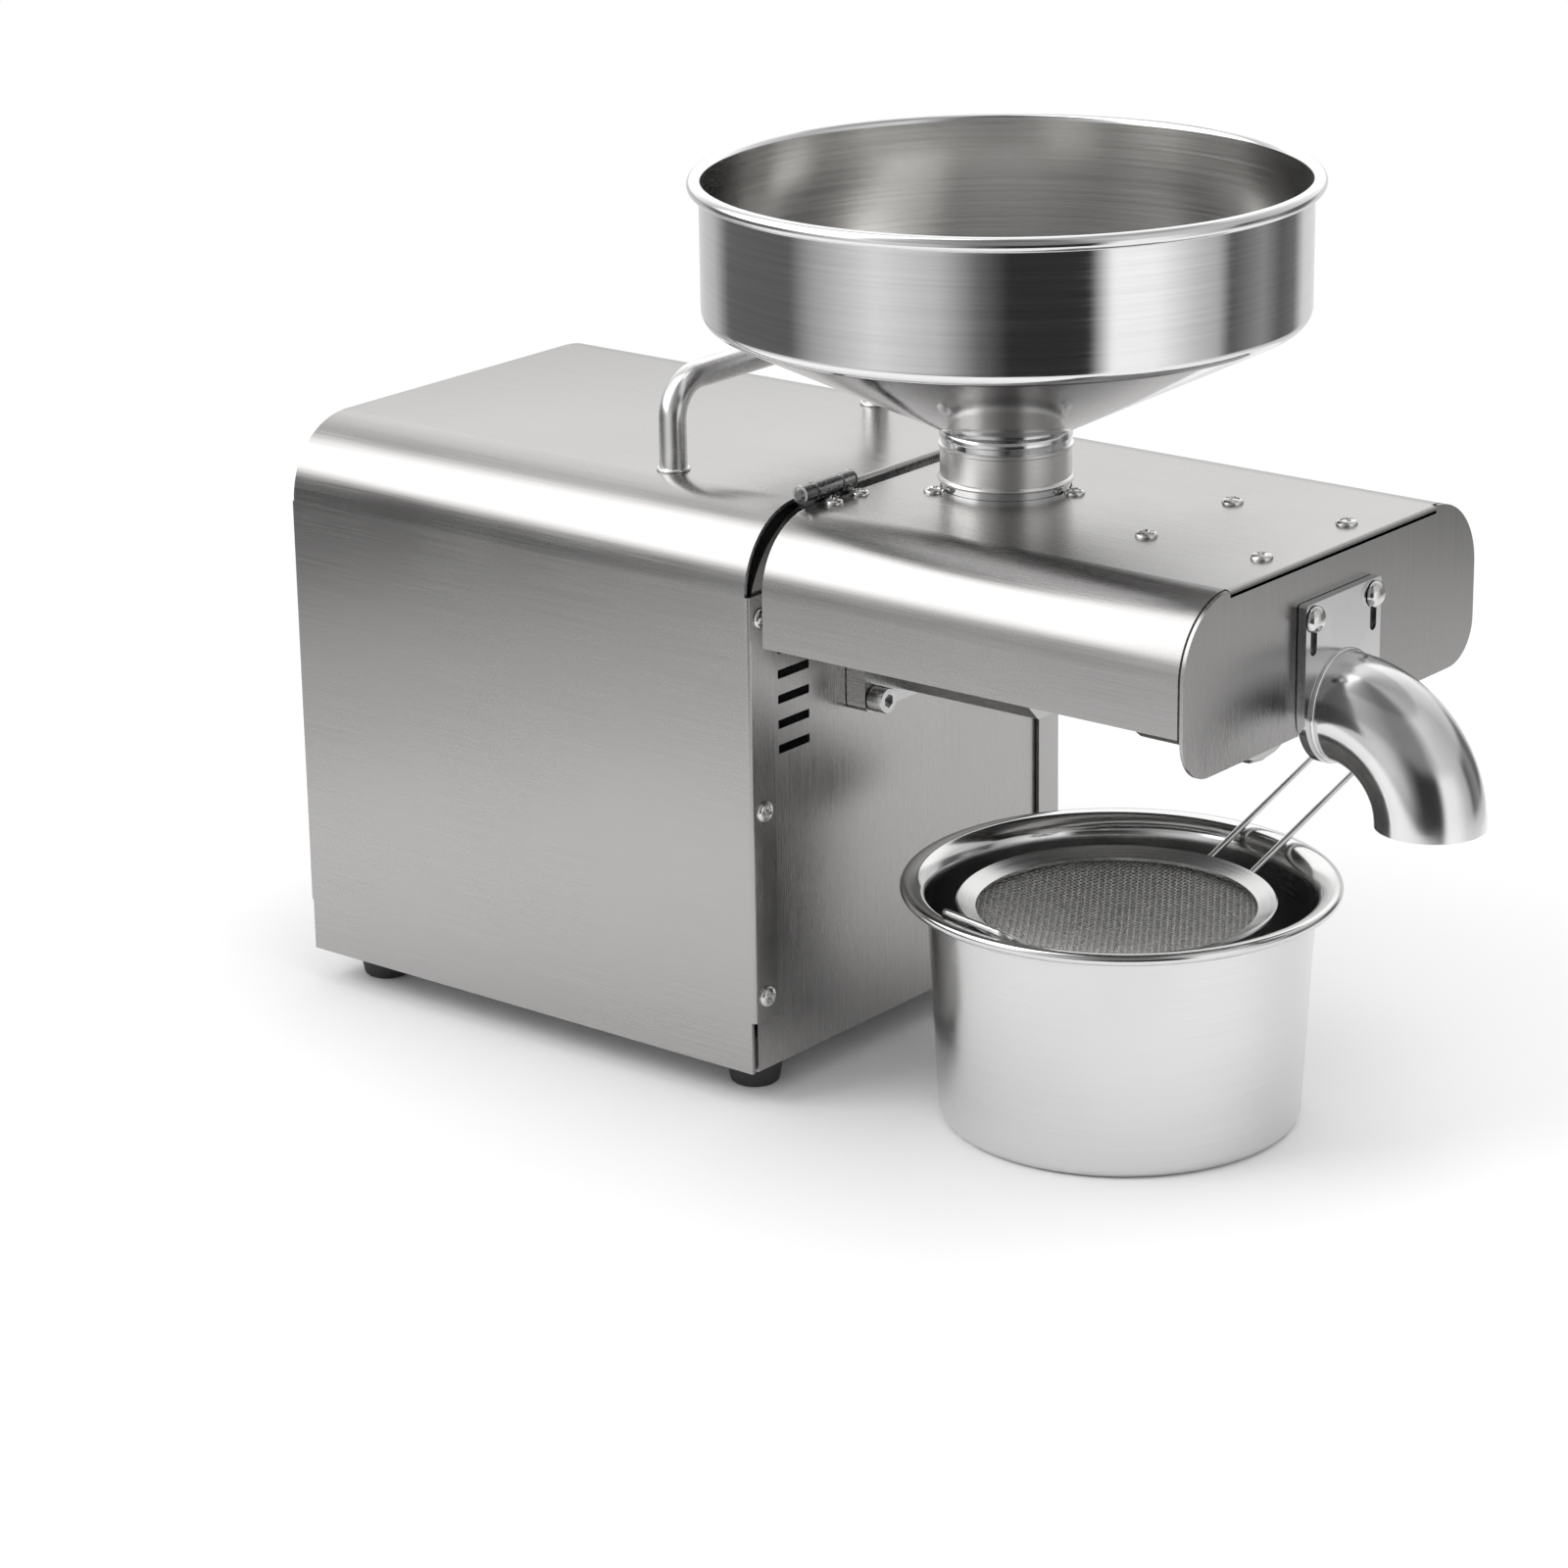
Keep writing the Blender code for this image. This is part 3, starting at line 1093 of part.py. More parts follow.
def build_output_shaft():
    """Output shaft: it carries the output gear and drives the screw by a hexagon socket."""
    rear = COVER_PLATE_START + SHAFT_SEAT
    front = forward(OUTPUT_SHAFT_FORWARD)
    profile = [
        (0, rear), (OUTPUT_STUB_RADIUS, rear), (OUTPUT_STUB_RADIUS, OUTPUT_GEAR_END),
        (OUTPUT_SHAFT_RADIUS, OUTPUT_GEAR_END), (OUTPUT_SHAFT_RADIUS, front), (0, front),
    ]
    shaft = turned("output_shaft", profile, (0, 0, PRESS_Z), 20, axis="y")
    depth = SCREW_TAIL_LENGTH + FIT_GAP + CUT_OVERRUN
    socket = rod(
        "shaft_socket", SCREW_TAIL_RADIUS + 2 * FIT_GAP, depth,
        (0, front - CUT_OVERRUN + depth / 2, PRESS_Z), "y", 6, cutter=True,
    )
    cut(shaft, socket)
    finish_solid(shaft, GEAR_STEEL)
    bearing_start = CHAMBER_START - BEARING_WIDTH
    inner = OUTPUT_SHAFT_RADIUS + FIT_GAP
    ring = [
        (BEARING_RADIUS, CHAMBER_START), (BEARING_RADIUS, bearing_start),
        (inner, bearing_start), (inner, CHAMBER_START),
    ]
    bearing = turned("output_bearing", ring, (0, 0, PRESS_Z), 20, axis="y", closed=True)
    finish_solid(bearing, ZINC_STEEL)


def case_centre_and_size():
    """Room that both large gears need, with the wall round it."""
    margin = GEAR_TIP_GAP + CASE_WALL
    left = -OUTPUT_TIP_RADIUS - margin
    right = IDLER_X + FIRST_TIP_RADIUS + margin
    low = IDLER_Z - FIRST_TIP_RADIUS - margin
    high = PRESS_Z + OUTPUT_TIP_RADIUS + margin
    return ((left + right) / 2, (low + high) / 2), right - left, high - low


def build_gearbox():
    """Cast gearbox: an open case with the bearing seat, and the plate that closes it."""
    centre, width, height = case_centre_and_size()
    depth = CASE_END - CASE_START
    outline = rounded_rectangle(centre, width, height, CASE_CORNER_RADIUS, 3)
    case = flat("gearbox_case", [outline], depth, (0, CASE_START + depth / 2, 0))
    inside = rounded_rectangle(
        centre, width - 2 * CASE_WALL, height - 2 * CASE_WALL, CASE_CORNER_RADIUS - CASE_WALL, 3
    )
    chamber_depth = CASE_END - CHAMBER_START + CUT_OVERRUN
    chamber = flat(
        "gear_chamber", [inside], chamber_depth, (0, CHAMBER_START + chamber_depth / 2, 0), cutter=True
    )
    seat_depth = BEARING_WIDTH + FIT_GAP + CUT_OVERRUN
    seat_y = CHAMBER_START + CUT_OVERRUN - seat_depth / 2
    seat = rod("bearing_seat", BEARING_RADIUS + FIT_GAP, seat_depth, (0, seat_y, PRESS_Z), "y", 20, cutter=True)
    through = rod(
        "case_shaft_hole", OUTPUT_SHAFT_RADIUS + FIT_GAP, 4 * CASE_FRONT_WALL,
        (0, CASE_START, PRESS_Z), "y", 20, cutter=True,
    )
    idler_depth = SHAFT_SEAT + FIT_GAP + CUT_OVERRUN
    idler_seat = rod(
        "idler_front_seat", IDLER_SHAFT_RADIUS + FIT_GAP, idler_depth,
        (IDLER_X, CHAMBER_START + CUT_OVERRUN - idler_depth / 2, IDLER_Z), "y", 20, cutter=True,
    )
    cut(case, chamber, seat, through, idler_seat)
    bolt_end = forward(BARREL_FLANGE + FIT_GAP) + BOLT_LENGTH
    bolt_depth = bolt_end - CASE_START + FIT_GAP + CUT_OVERRUN
    for index, (x, z) in enumerate(flange_bolt_places()):
        place = (x, CASE_START - CUT_OVERRUN + bolt_depth / 2, z)
        cut(case, rod(f"case_bolt_hole_{index}", BOLT_SHANK_RADIUS + FIT_GAP, bolt_depth, place, "y", 16, cutter=True))
    finish_solid(case, CAST_ALUMINIUM)
    holes = [circle((0, MOTOR_Z), MOTOR_SHAFT_RADIUS + 2 * FIT_GAP, 16)]
    middle = (COVER_PLATE_START + COVER_PLATE_END) / 2
    cover = flat("gearbox_cover", [outline] + holes, CASE_COVER, (0, middle, 0))
    for name, radius, x, z in (
        ("output", OUTPUT_STUB_RADIUS, 0, PRESS_Z),
        ("idler", IDLER_SHAFT_RADIUS, IDLER_X, IDLER_Z),
    ):
        place = (x, COVER_PLATE_START - CUT_OVERRUN + idler_depth / 2, z)
        cut(cover, rod(f"{name}_rear_seat", radius + FIT_GAP, idler_depth, place, "y", 20, cutter=True))
    finish_solid(cover, CAST_ALUMINIUM)


# Motor


def build_motor():
    """Motor housing with two end bells, its shaft right through, and the fan."""
    end = MOTOR_START + MOTOR_LENGTH
    bell = MOTOR_START + MOTOR_BELL_LENGTH
    rear_bell = end - MOTOR_BELL_LENGTH
    bore = MOTOR_SHAFT_RADIUS + FIT_GAP
    edge = MOTOR_RADIUS - MOTOR_BELL_RADIUS
    profile = [
        (MOTOR_BOSS_RADIUS, end + MOTOR_BOSS_LENGTH), (MOTOR_BOSS_RADIUS, end),
        (MOTOR_BELL_RADIUS - edge, end), (MOTOR_BELL_RADIUS, end - edge), (MOTOR_BELL_RADIUS, rear_bell),
        (MOTOR_RADIUS, rear_bell), (MOTOR_RADIUS, bell), (MOTOR_BELL_RADIUS, bell),
        (MOTOR_BELL_RADIUS, MOTOR_START), (bore, MOTOR_START), (bore, end + MOTOR_BOSS_LENGTH),
    ]
    case = turned("motor_case", profile, (0, 0, MOTOR_Z), 24, axis="y", closed=True)
    finish_solid(case, MOTOR_PAINT)
    fan_start = end + MOTOR_BOSS_LENGTH + FAN_FROM_MOTOR
    fan_end = fan_start + FAN_LENGTH
    shaft_start = FIRST_GEAR_START
    shaft_end = fan_end - FAN_PLATE
    shaft = rod(
        "motor_shaft", MOTOR_SHAFT_RADIUS, shaft_end - shaft_start,
        (0, (shaft_start + shaft_end) / 2, MOTOR_Z), "y", 20,
    )
    finish_solid(shaft, GEAR_STEEL)
    hole = circle((0, 0), MOTOR_SHAFT_RADIUS + FIT_GAP, 16)
    plate = flat(
        "cooling_fan", [circle((0, 0), FAN_RADIUS * FAN_PLATE_SHARE, 20), hole], FAN_PLATE,
        (0, fan_start + FAN_PLATE / 2, MOTOR_Z),
    )
    star = flat(
        "fan_blades", [fan_star(), hole], FAN_LENGTH - FAN_PLATE / 2,
        (0, fan_end - (FAN_LENGTH - FAN_PLATE / 2) / 2, MOTOR_Z),
    )
    weld(plate, star)
    finish_solid(plate, BLACK_PLASTIC)


def fan_star():
    """Hub circle with swept blades standing on it, as one outline."""
    points = []
    sweep = math.radians(FAN_BLADE_SWEEP_DEG)
    steps = 2
    for blade in range(FAN_BLADES):
        start = 2 * math.pi * blade / FAN_BLADES
        sides = []
        for sign in (-1, 1):
            side = []
            for step in range(steps + 1):
                radius = FAN_HUB_RADIUS + (FAN_RADIUS - FAN_HUB_RADIUS) * step / steps
                angle = start + sweep * step / steps + sign * FAN_BLADE_THICKNESS / 2 / radius
                side.append((radius * math.cos(angle), radius * math.sin(angle)))
            sides.append(side)
        points += sides[0] + sides[1][::-1]
    return points


def build_saddle():
    """Saddle on the base in which the motor lies."""
    floor = UNDERSIDE + BASE_THICKNESS + FIT_GAP
    radius = MOTOR_RADIUS + FIT_GAP
    half = SADDLE_HALF_WIDTH
    top = MOTOR_Z - math.sqrt(radius ** 2 - (half - CASE_WALL) ** 2)
    reach = math.degrees(math.asin((half - CASE_WALL) / radius))
    cradle = arc((0, MOTOR_Z), radius, -90 + reach, -90 - reach, 12)
    outline = [(-half, floor), (half, floor), (half, top)] + cradle + [(-half, top)]
    y = MOTOR_START + MOTOR_BELL_LENGTH + SADDLE_REACH + SADDLE_LENGTH / 2
    saddle = flat("motor_saddle", [outline], SADDLE_LENGTH, (0, y, 0))
    finish_solid(saddle, CAST_ALUMINIUM)


def build_board():
    """Control board on four posts, with its capacitor, transformer and relay."""
    floor = UNDERSIDE + BASE_THICKNESS + FIT_GAP
    y = BODY_REAR - BOARD_FROM_REAR - BOARD_LENGTH / 2
    z = floor + BOARD_LIFT + BOARD_THICKNESS / 2
    board = box("control_board", (BOARD_WIDTH, BOARD_LENGTH, BOARD_THICKNESS), (BOARD_X, y, z))
    post_height = BOARD_LIFT + BOARD_THICKNESS / 2
    tools = []
    for sx in (-1, 1):
        for sy in (-1, 1):
            x = BOARD_X + sx * (BOARD_WIDTH / 2 - BOARD_POST_RADIUS)
            post_y = y + sy * (BOARD_LENGTH / 2 - BOARD_POST_RADIUS)
            place = (x, post_y, floor + post_height / 2)
            tools.append(rod(f"board_post_{sx}_{sy}", BOARD_POST_RADIUS, post_height, place, "z", 10))
    shares = (("transformer", 0.5, 0.28, 0.45, -0.28), ("relay", 0.34, 0.18, 0.34, 0.05))
    for name, width_share, length_share, height_share, place_share in shares:
        size = (BOARD_WIDTH * width_share, BOARD_LENGTH * length_share, BOARD_WIDTH * height_share)
        place = (BOARD_X, y + BOARD_LENGTH * place_share, z + size[2] / 2)
        tools.append(box(f"board_{name}", size, place))
    capacitor_height = BOARD_WIDTH / 2
    place = (BOARD_X, y + BOARD_LENGTH * 0.3, z + capacitor_height / 2)
    tools.append(rod("board_capacitor", BOARD_WIDTH / 5, capacitor_height, place, "z", 18))
    weld(board, *tools)
    finish_solid(board, BOARD_GREEN)


# Hinged head cover


def build_head_cover():
    """Folded sheet over the press head; its top turns down in front as the end plate."""
    half = COVER_WIDTH / 2
    top = UNDERSIDE + COVER_TOP
    low = UNDERSIDE + COVER_PLATE_BOTTOM
    length = COVER_END - COVER_START
    middle = forward(COVER_START + length / 2)
    corner = COVER_PLATE_RADIUS
    outline = arch(half, low + corner, top, COVER_CORNER_RADIUS)
    outline += arc((half - corner, low + corner), corner, 0, -90, 6)[1:]
    outline += arc((-half + corner, low + corner), corner, -90, -180, 6)[:-1]
    cover = flat("head_cover", [outline], length, (0, middle, 0))
    round_fold(cover, SHEET_BEND_RADIUS, low)
    inside = arch(half - SHEET, low - CUT_OVERRUN, top - SHEET, COVER_CORNER_RADIUS - SHEET)
    hollow_depth = length - SHEET + CUT_OVERRUN
    hollow_y = forward(COVER_START - CUT_OVERRUN + hollow_depth / 2)
    cut(cover, flat("cover_hollow", [inside], hollow_depth, (0, hollow_y, 0), cutter=True))
    wall_cut_height = COVER_WALL_BOTTOM - COVER_PLATE_BOTTOM + CUT_OVERRUN
    wall_cut = box(
        "cover_wall_cut", (COVER_WIDTH + 2 * CUT_OVERRUN, hollow_depth, wall_cut_height),
        (0, hollow_y, UNDERSIDE + COVER_WALL_BOTTOM - wall_cut_height / 2), cutter=True,
    )
    cut(cover, wall_cut)
    relief_x = half - COVER_CORNER_RADIUS
    relief_width = COVER_CORNER_RADIUS + CUT_OVERRUN
    relief_height = COVER_TOP - COVER_PLATE_BOTTOM + 2 * CUT_OVERRUN
    for side in (-1, 1):
        relief = box(
            f"cover_relief_{side}", (relief_width, COVER_RELIEF, relief_height),
            (side * (relief_x + relief_width / 2), forward(COVER_END - SHEET - COVER_RELIEF / 2),
             (low + top) / 2), cutter=True,
        )
        cut(cover, relief)
    notch = arch(
        COVER_NOTCH_HALF_WIDTH, low - CUT_OVERRUN,
        PRESS_Z + COVER_NOTCH_HALF_WIDTH, COVER_NOTCH_HALF_WIDTH - FIT_GAP,
    )
    end_y = forward(COVER_END - SHEET / 2)
    cut(cover, flat("outlet_notch", [notch], 2 * CUT_OVERRUN, (0, end_y, 0), cutter=True))
    neck_hole = rod(
        "neck_hole", NECK_RADIUS + FIT_GAP, COVER_CORNER_RADIUS,
        (0, forward(HOPPER_FORWARD), top), "z", HOPPER_STEPS, cutter=True,
    )
    cut(cover, neck_hole)
    for side in (-1, 1):
        screw_hole = rod(
            f"outlet_screw_hole_{side}", OUTLET_SCREW_SHANK_RADIUS + FIT_GAP, 2 * CUT_OVERRUN,
            (side * OUTLET_SLOT_X, end_y, UNDERSIDE + OUTLET_SCREW_HEIGHT), "y", 16, cutter=True,
        )
        cut(cover, screw_hole)
    finish_solid(cover, BRUSHED_STEEL)


def build_hinge(name, x):
    """Barrel hinge: a leaf on the body, a leaf under the cover and the pin between them."""
    radius = HINGE_KNUCKLE_RADIUS
    middle_length = HINGE_LENGTH * HINGE_MIDDLE_SHARE
    outer_length = (HINGE_LENGTH - middle_length) / 2 - FIT_GAP
    bore = rod(
        f"{name}_hinge_bore", HINGE_PIN_RADIUS + FIT_GAP, HINGE_LENGTH + 2 * CUT_OVERRUN,
        (x, HINGE_Y, HINGE_Z), "x", 12, cutter=True,
    )
    body_leaf = rod(f"{name}_hinge_body_leaf", radius, middle_length, (x, HINGE_Y, HINGE_Z), "x", 16)
    leaf_back = BODY_FRONT - FIT_GAP
    web_height = HINGE_BODY_LEAF_DROP
    web_y = leaf_back - HINGE_LEAF / 2
    web = box(
        f"{name}_body_web", (middle_length, HINGE_LEAF, web_height),
        (x, web_y, HINGE_Z - web_height / 2),
    )
    pad_height = HINGE_BODY_LEAF_DROP - radius - HINGE_LEAF * 2
    pad = box(
        f"{name}_body_pad", (HINGE_LENGTH, HINGE_LEAF, pad_height),
        (x, web_y, HINGE_Z - web_height + pad_height / 2),
    )
    weld(body_leaf, web, pad)
    cut(body_leaf, bore)
    finish_solid(body_leaf, ZINC_STEEL)
    knuckle_x = (HINGE_LENGTH - outer_length) / 2
    cover_leaf = rod(
        f"{name}_hinge_cover_leaf", radius, outer_length, (x - knuckle_x, HINGE_Y, HINGE_Z), "x", 16
    )
    far_knuckle = rod(f"{name}_far_knuckle", radius, outer_length, (x + knuckle_x, HINGE_Y, HINGE_Z), "x", 16)
    leaf_top = UNDERSIDE + COVER_TOP - SHEET - FIT_GAP
    plate_length = HINGE_COVER_LEAF_LENGTH
    cover_web_y = forward(COVER_START - FIT_GAP - HINGE_LEAF / 2)
    inner_end = HINGE_X - HINGE_LENGTH / 2
    outer_end = min(HINGE_X + HINGE_LENGTH / 2, COVER_WIDTH / 2 - COVER_CORNER_RADIUS - FIT_GAP)
    plate_x = math.copysign((inner_end + outer_end) / 2, x)
    plate = box(
        f"{name}_cover_plate", (outer_end - inner_end, plate_length, HINGE_LEAF),
        (plate_x, cover_web_y + HINGE_LEAF / 2 - plate_length / 2, leaf_top - HINGE_LEAF / 2),
    )
    strip = box(
        f"{name}_cover_strip", (HINGE_LENGTH, HINGE_LEAF, 2 * HINGE_LEAF),
        (x, cover_web_y, leaf_top + HINGE_LEAF / 4),
    )
    tools = [far_knuckle, plate, strip]
    web_low = leaf_top - HINGE_LEAF / 2
    for side in (-1, 1):
        web_size = (outer_length, HINGE_LEAF, HINGE_Z - radius / 2 - web_low)
        place = (x + side * knuckle_x, cover_web_y, web_low + web_size[2] / 2)
        tools.append(box(f"{name}_cover_web_{side}", web_size, place))
    weld(cover_leaf, *tools)
    cut(cover_leaf, bore)
    finish_solid(cover_leaf, ZINC_STEEL)
    half = HINGE_LENGTH / 2 + FIT_GAP
    head_radius = radius * 0.8
    profile = [
        (0, half + HINGE_PIN_HEAD), (head_radius * 0.7, half + HINGE_PIN_HEAD), (head_radius, half),
        (HINGE_PIN_RADIUS, half), (HINGE_PIN_RADIUS, -half), (head_radius, -half),
        (head_radius * 0.7, -half - HINGE_PIN_HEAD), (0, -half - HINGE_PIN_HEAD),
    ]
    pin = turned(f"{name}_hinge_pin", profile, (x, HINGE_Y, HINGE_Z), 12)
    pin.rotation_euler = FACING["x"]
    finish_solid(apply_modifiers(pin), ZINC_STEEL)


def build_cover_fittings():
    """Collar that guides the hopper's neck, and the hat-shaped heat shield in front."""
    leaf_top = UNDERSIDE + COVER_TOP - SHEET - FIT_GAP
    rings = [circle((0, 0), COLLAR_RADIUS, 24), circle((0, 0), NECK_RADIUS + FIT_GAP, HOPPER_STEPS)]
    place = (0, forward(HOPPER_FORWARD), leaf_top - COLLAR_THICKNESS / 2)
    finish_solid(flat("hopper_collar", rings, COLLAR_THICKNESS, place, facing="z"), SATIN_STEEL)
    half, inner = SUPPORT_HALF_WIDTH, SUPPORT_HALF_WIDTH - SHEET
    low = leaf_top - SUPPORT_DROP
    outline = [
        (-half, low), (-inner, low), (-inner, leaf_top - SHEET), (inner, leaf_top - SHEET),
        (inner, low), (half, low), (half, leaf_top), (-half, leaf_top),
    ]
    length = SUPPORT_END - SUPPORT_START
    shield = flat("heat_shield", [outline], length, (0, forward(SUPPORT_START + length / 2), 0))
    finish_solid(shield, BRUSHED_STEEL)


# Hopper


def build_hopper():
    """Spun hopper: rolled rim, straight wall and cone, welded to its neck tube."""
    rim = UNDERSIDE + HOPPER_RIM_HEIGHT
    bead = HOPPER_BEAD_RADIUS
    bead_centre = (HOPPER_RIM_RADIUS - bead, rim - bead)
    inner = bead_centre[0] - bead
    outer = inner + HOPPER_WALL
    cone_top = UNDERSIDE + HOPPER_CONE_TOP
    cone_bottom = UNDERSIDE + HOPPER_CONE_BOTTOM
    neck_end = PRESS_Z + BARREL_ACROSS_FLATS / 2 + FIT_GAP
    neck_inner = NECK_RADIUS - HOPPER_WALL
    slope = math.atan2(cone_top - cone_bottom, outer - NECK_RADIUS)
    turn = math.degrees(math.pi / 2 - slope)
    fillet = HOPPER_SHOULDER_RADIUS
    set_back = fillet * math.tan(math.radians(turn) / 2)
    outer_fillet = arc((outer - fillet, cone_top + set_back), fillet, 0, -turn, HOPPER_ARC_STEPS)
    inner_fillet = arc(
        (outer - fillet, cone_top + set_back), fillet - HOPPER_WALL, -turn, 0, HOPPER_ARC_STEPS
    )
    lip = HOPPER_WALL
    profile = arc(bead_centre, bead, 180, -60, 4)
    profile += [(outer, rim - 2 * bead)] + outer_fillet
    profile += [
        (NECK_RADIUS - lip / 2, cone_bottom + lip), (NECK_RADIUS, cone_bottom - lip / 2),
        (NECK_RADIUS, neck_end), (neck_inner, neck_end),
        (neck_inner, cone_bottom - lip), (HOPPER_THROAT_RADIUS - lip, cone_bottom),
    ]
    profile += inner_fillet
    hopper = turned("hopper", profile, (0, forward(HOPPER_FORWARD), 0), HOPPER_STEPS, closed=True)
    finish_solid(apply_modifiers(hopper), POLISHED_STEEL)


# Cake outlet


def build_outlet():
    """Outlet elbow: a bent tube welded to a slotted plate, and its two dome screws."""
    plate_y = forward(COVER_END + FIT_GAP + OUTLET_PLATE / 2)
    half = OUTLET_PLATE_HALF_WIDTH
    top = UNDERSIDE + OUTLET_PLATE_TOP
    round_centre = (0, UNDERSIDE + OUTLET_PLATE_ROUND_HEIGHT)
    outline = [(half, top), (-half, top)] + arc(round_centre, half, 180, 360, 16)
    slot_half = OUTLET_SLOT_WIDTH / 2
    upper = UNDERSIDE + OUTLET_SCREW_HEIGHT
    holes = []
    for side in (-1, 1):
        x = side * OUTLET_SLOT_X
        slot = arc((x, upper), slot_half, 0, 180, 6) + arc((x, upper - OUTLET_TRAVEL), slot_half, 180, 360, 6)
        holes.append(slot)
    elbow = flat("outlet_elbow", [outline] + holes, OUTLET_PLATE, (0, plate_y, 0))
    start_y = forward(COVER_END + FIT_GAP + OUTLET_PLATE)
    bend = OUTLET_BEND_RADIUS
    route = []
    for y, z in arc((start_y, OUTLET_Z - bend), bend, 90, 180, OUTLET_BEND_STEPS):
        route.append((0, y, z))
    back = (0, plate_y, OUTLET_Z)
    pipe = tube("elbow_pipe", [back] + route, OUTLET_TUBE_RADIUS, 6)
    weld(elbow, pipe)
    bore_back = (0, plate_y + OUTLET_PLATE, OUTLET_Z)
    bore_mouth = (0, start_y - bend, OUTLET_Z - bend - CUT_OVERRUN)
    bore_radius = OUTLET_TUBE_RADIUS - OUTLET_TUBE_WALL
    cut(elbow, tube("elbow_bore", [bore_back] + route + [bore_mouth], bore_radius, 5, cutter=True))
    finish_solid(elbow, POLISHED_STEEL)
    under_head = forward(COVER_END + FIT_GAP + OUTLET_PLATE + FIT_GAP)
    head = OUTLET_SCREW_HEAD_RADIUS
    height = OUTLET_SCREW_HEAD_HEIGHT
    shank_end = forward(COVER_END - SHEET - OUTLET_PLATE)
    dome = []
    for step in range(4):
        angle = math.pi / 2 * step / 3
        dome.append((head * math.cos(angle), under_head - height * math.sin(angle)))
    dome[-1] = (0, under_head - height)
    profile = [(0, shank_end), (OUTLET_SCREW_SHANK_RADIUS, shank_end), (OUTLET_SCREW_SHANK_RADIUS, under_head)]
    profile += dome
    for name, side in (("left", -1), ("right", 1)):
        place = (side * OUTLET_SLOT_X, 0, upper)
        screw = turned(f"outlet_screw_{name}", profile, place, 14, axis="y")
        finish_solid(apply_modifiers(screw), ZINC_STEEL)


# Oil pot and strainer


def pot_lip(radius):
    """Height of the pot's flared lip at this radius, above the table."""
    flare = POT_RIM_RADIUS - POT_BEAD_RADIUS - POT_TOP_RADIUS
    inward = POT_RIM_RADIUS - POT_BEAD_RADIUS - radius
    return POT_HEIGHT - flare + math.sqrt(max(flare ** 2 - inward ** 2, 0))


def build_pot():
    """Drawn pot with a rounded bottom edge and a lip that flares out to a rolled bead."""
    wall, bead = POT_WALL, POT_BEAD_RADIUS
    lip_edge = POT_RIM_RADIUS - bead
    flare = lip_edge - POT_TOP_RADIUS
    throat = POT_HEIGHT - flare
    edge = POT_EDGE_RADIUS
    inner = [(0, wall), (POT_BOTTOM_RADIUS - wall - (edge - wall), wall)]
    inner += arc((POT_BOTTOM_RADIUS - edge, edge), edge - wall, -90, 0, POT_ARC_STEPS)[1:]
    inner += arc((lip_edge, throat), flare, 180, 90, POT_ARC_STEPS + 1)
    rim = arc((lip_edge, POT_HEIGHT - bead), bead, 60, -90, 4)
    outer = arc((lip_edge, throat), flare - wall, 90, 180, POT_ARC_STEPS + 1)[1:]
    outer += arc((POT_BOTTOM_RADIUS - edge, edge), edge, 0, -90, POT_ARC_STEPS)
    profile = inner + rim + outer + [(0, 0)]
    pot = turned("oil_pot", profile, (POT_X, forward(POT_FORWARD), 0), POT_STEPS)
    finish_solid(apply_modifiers(pot), SATIN_STEEL)


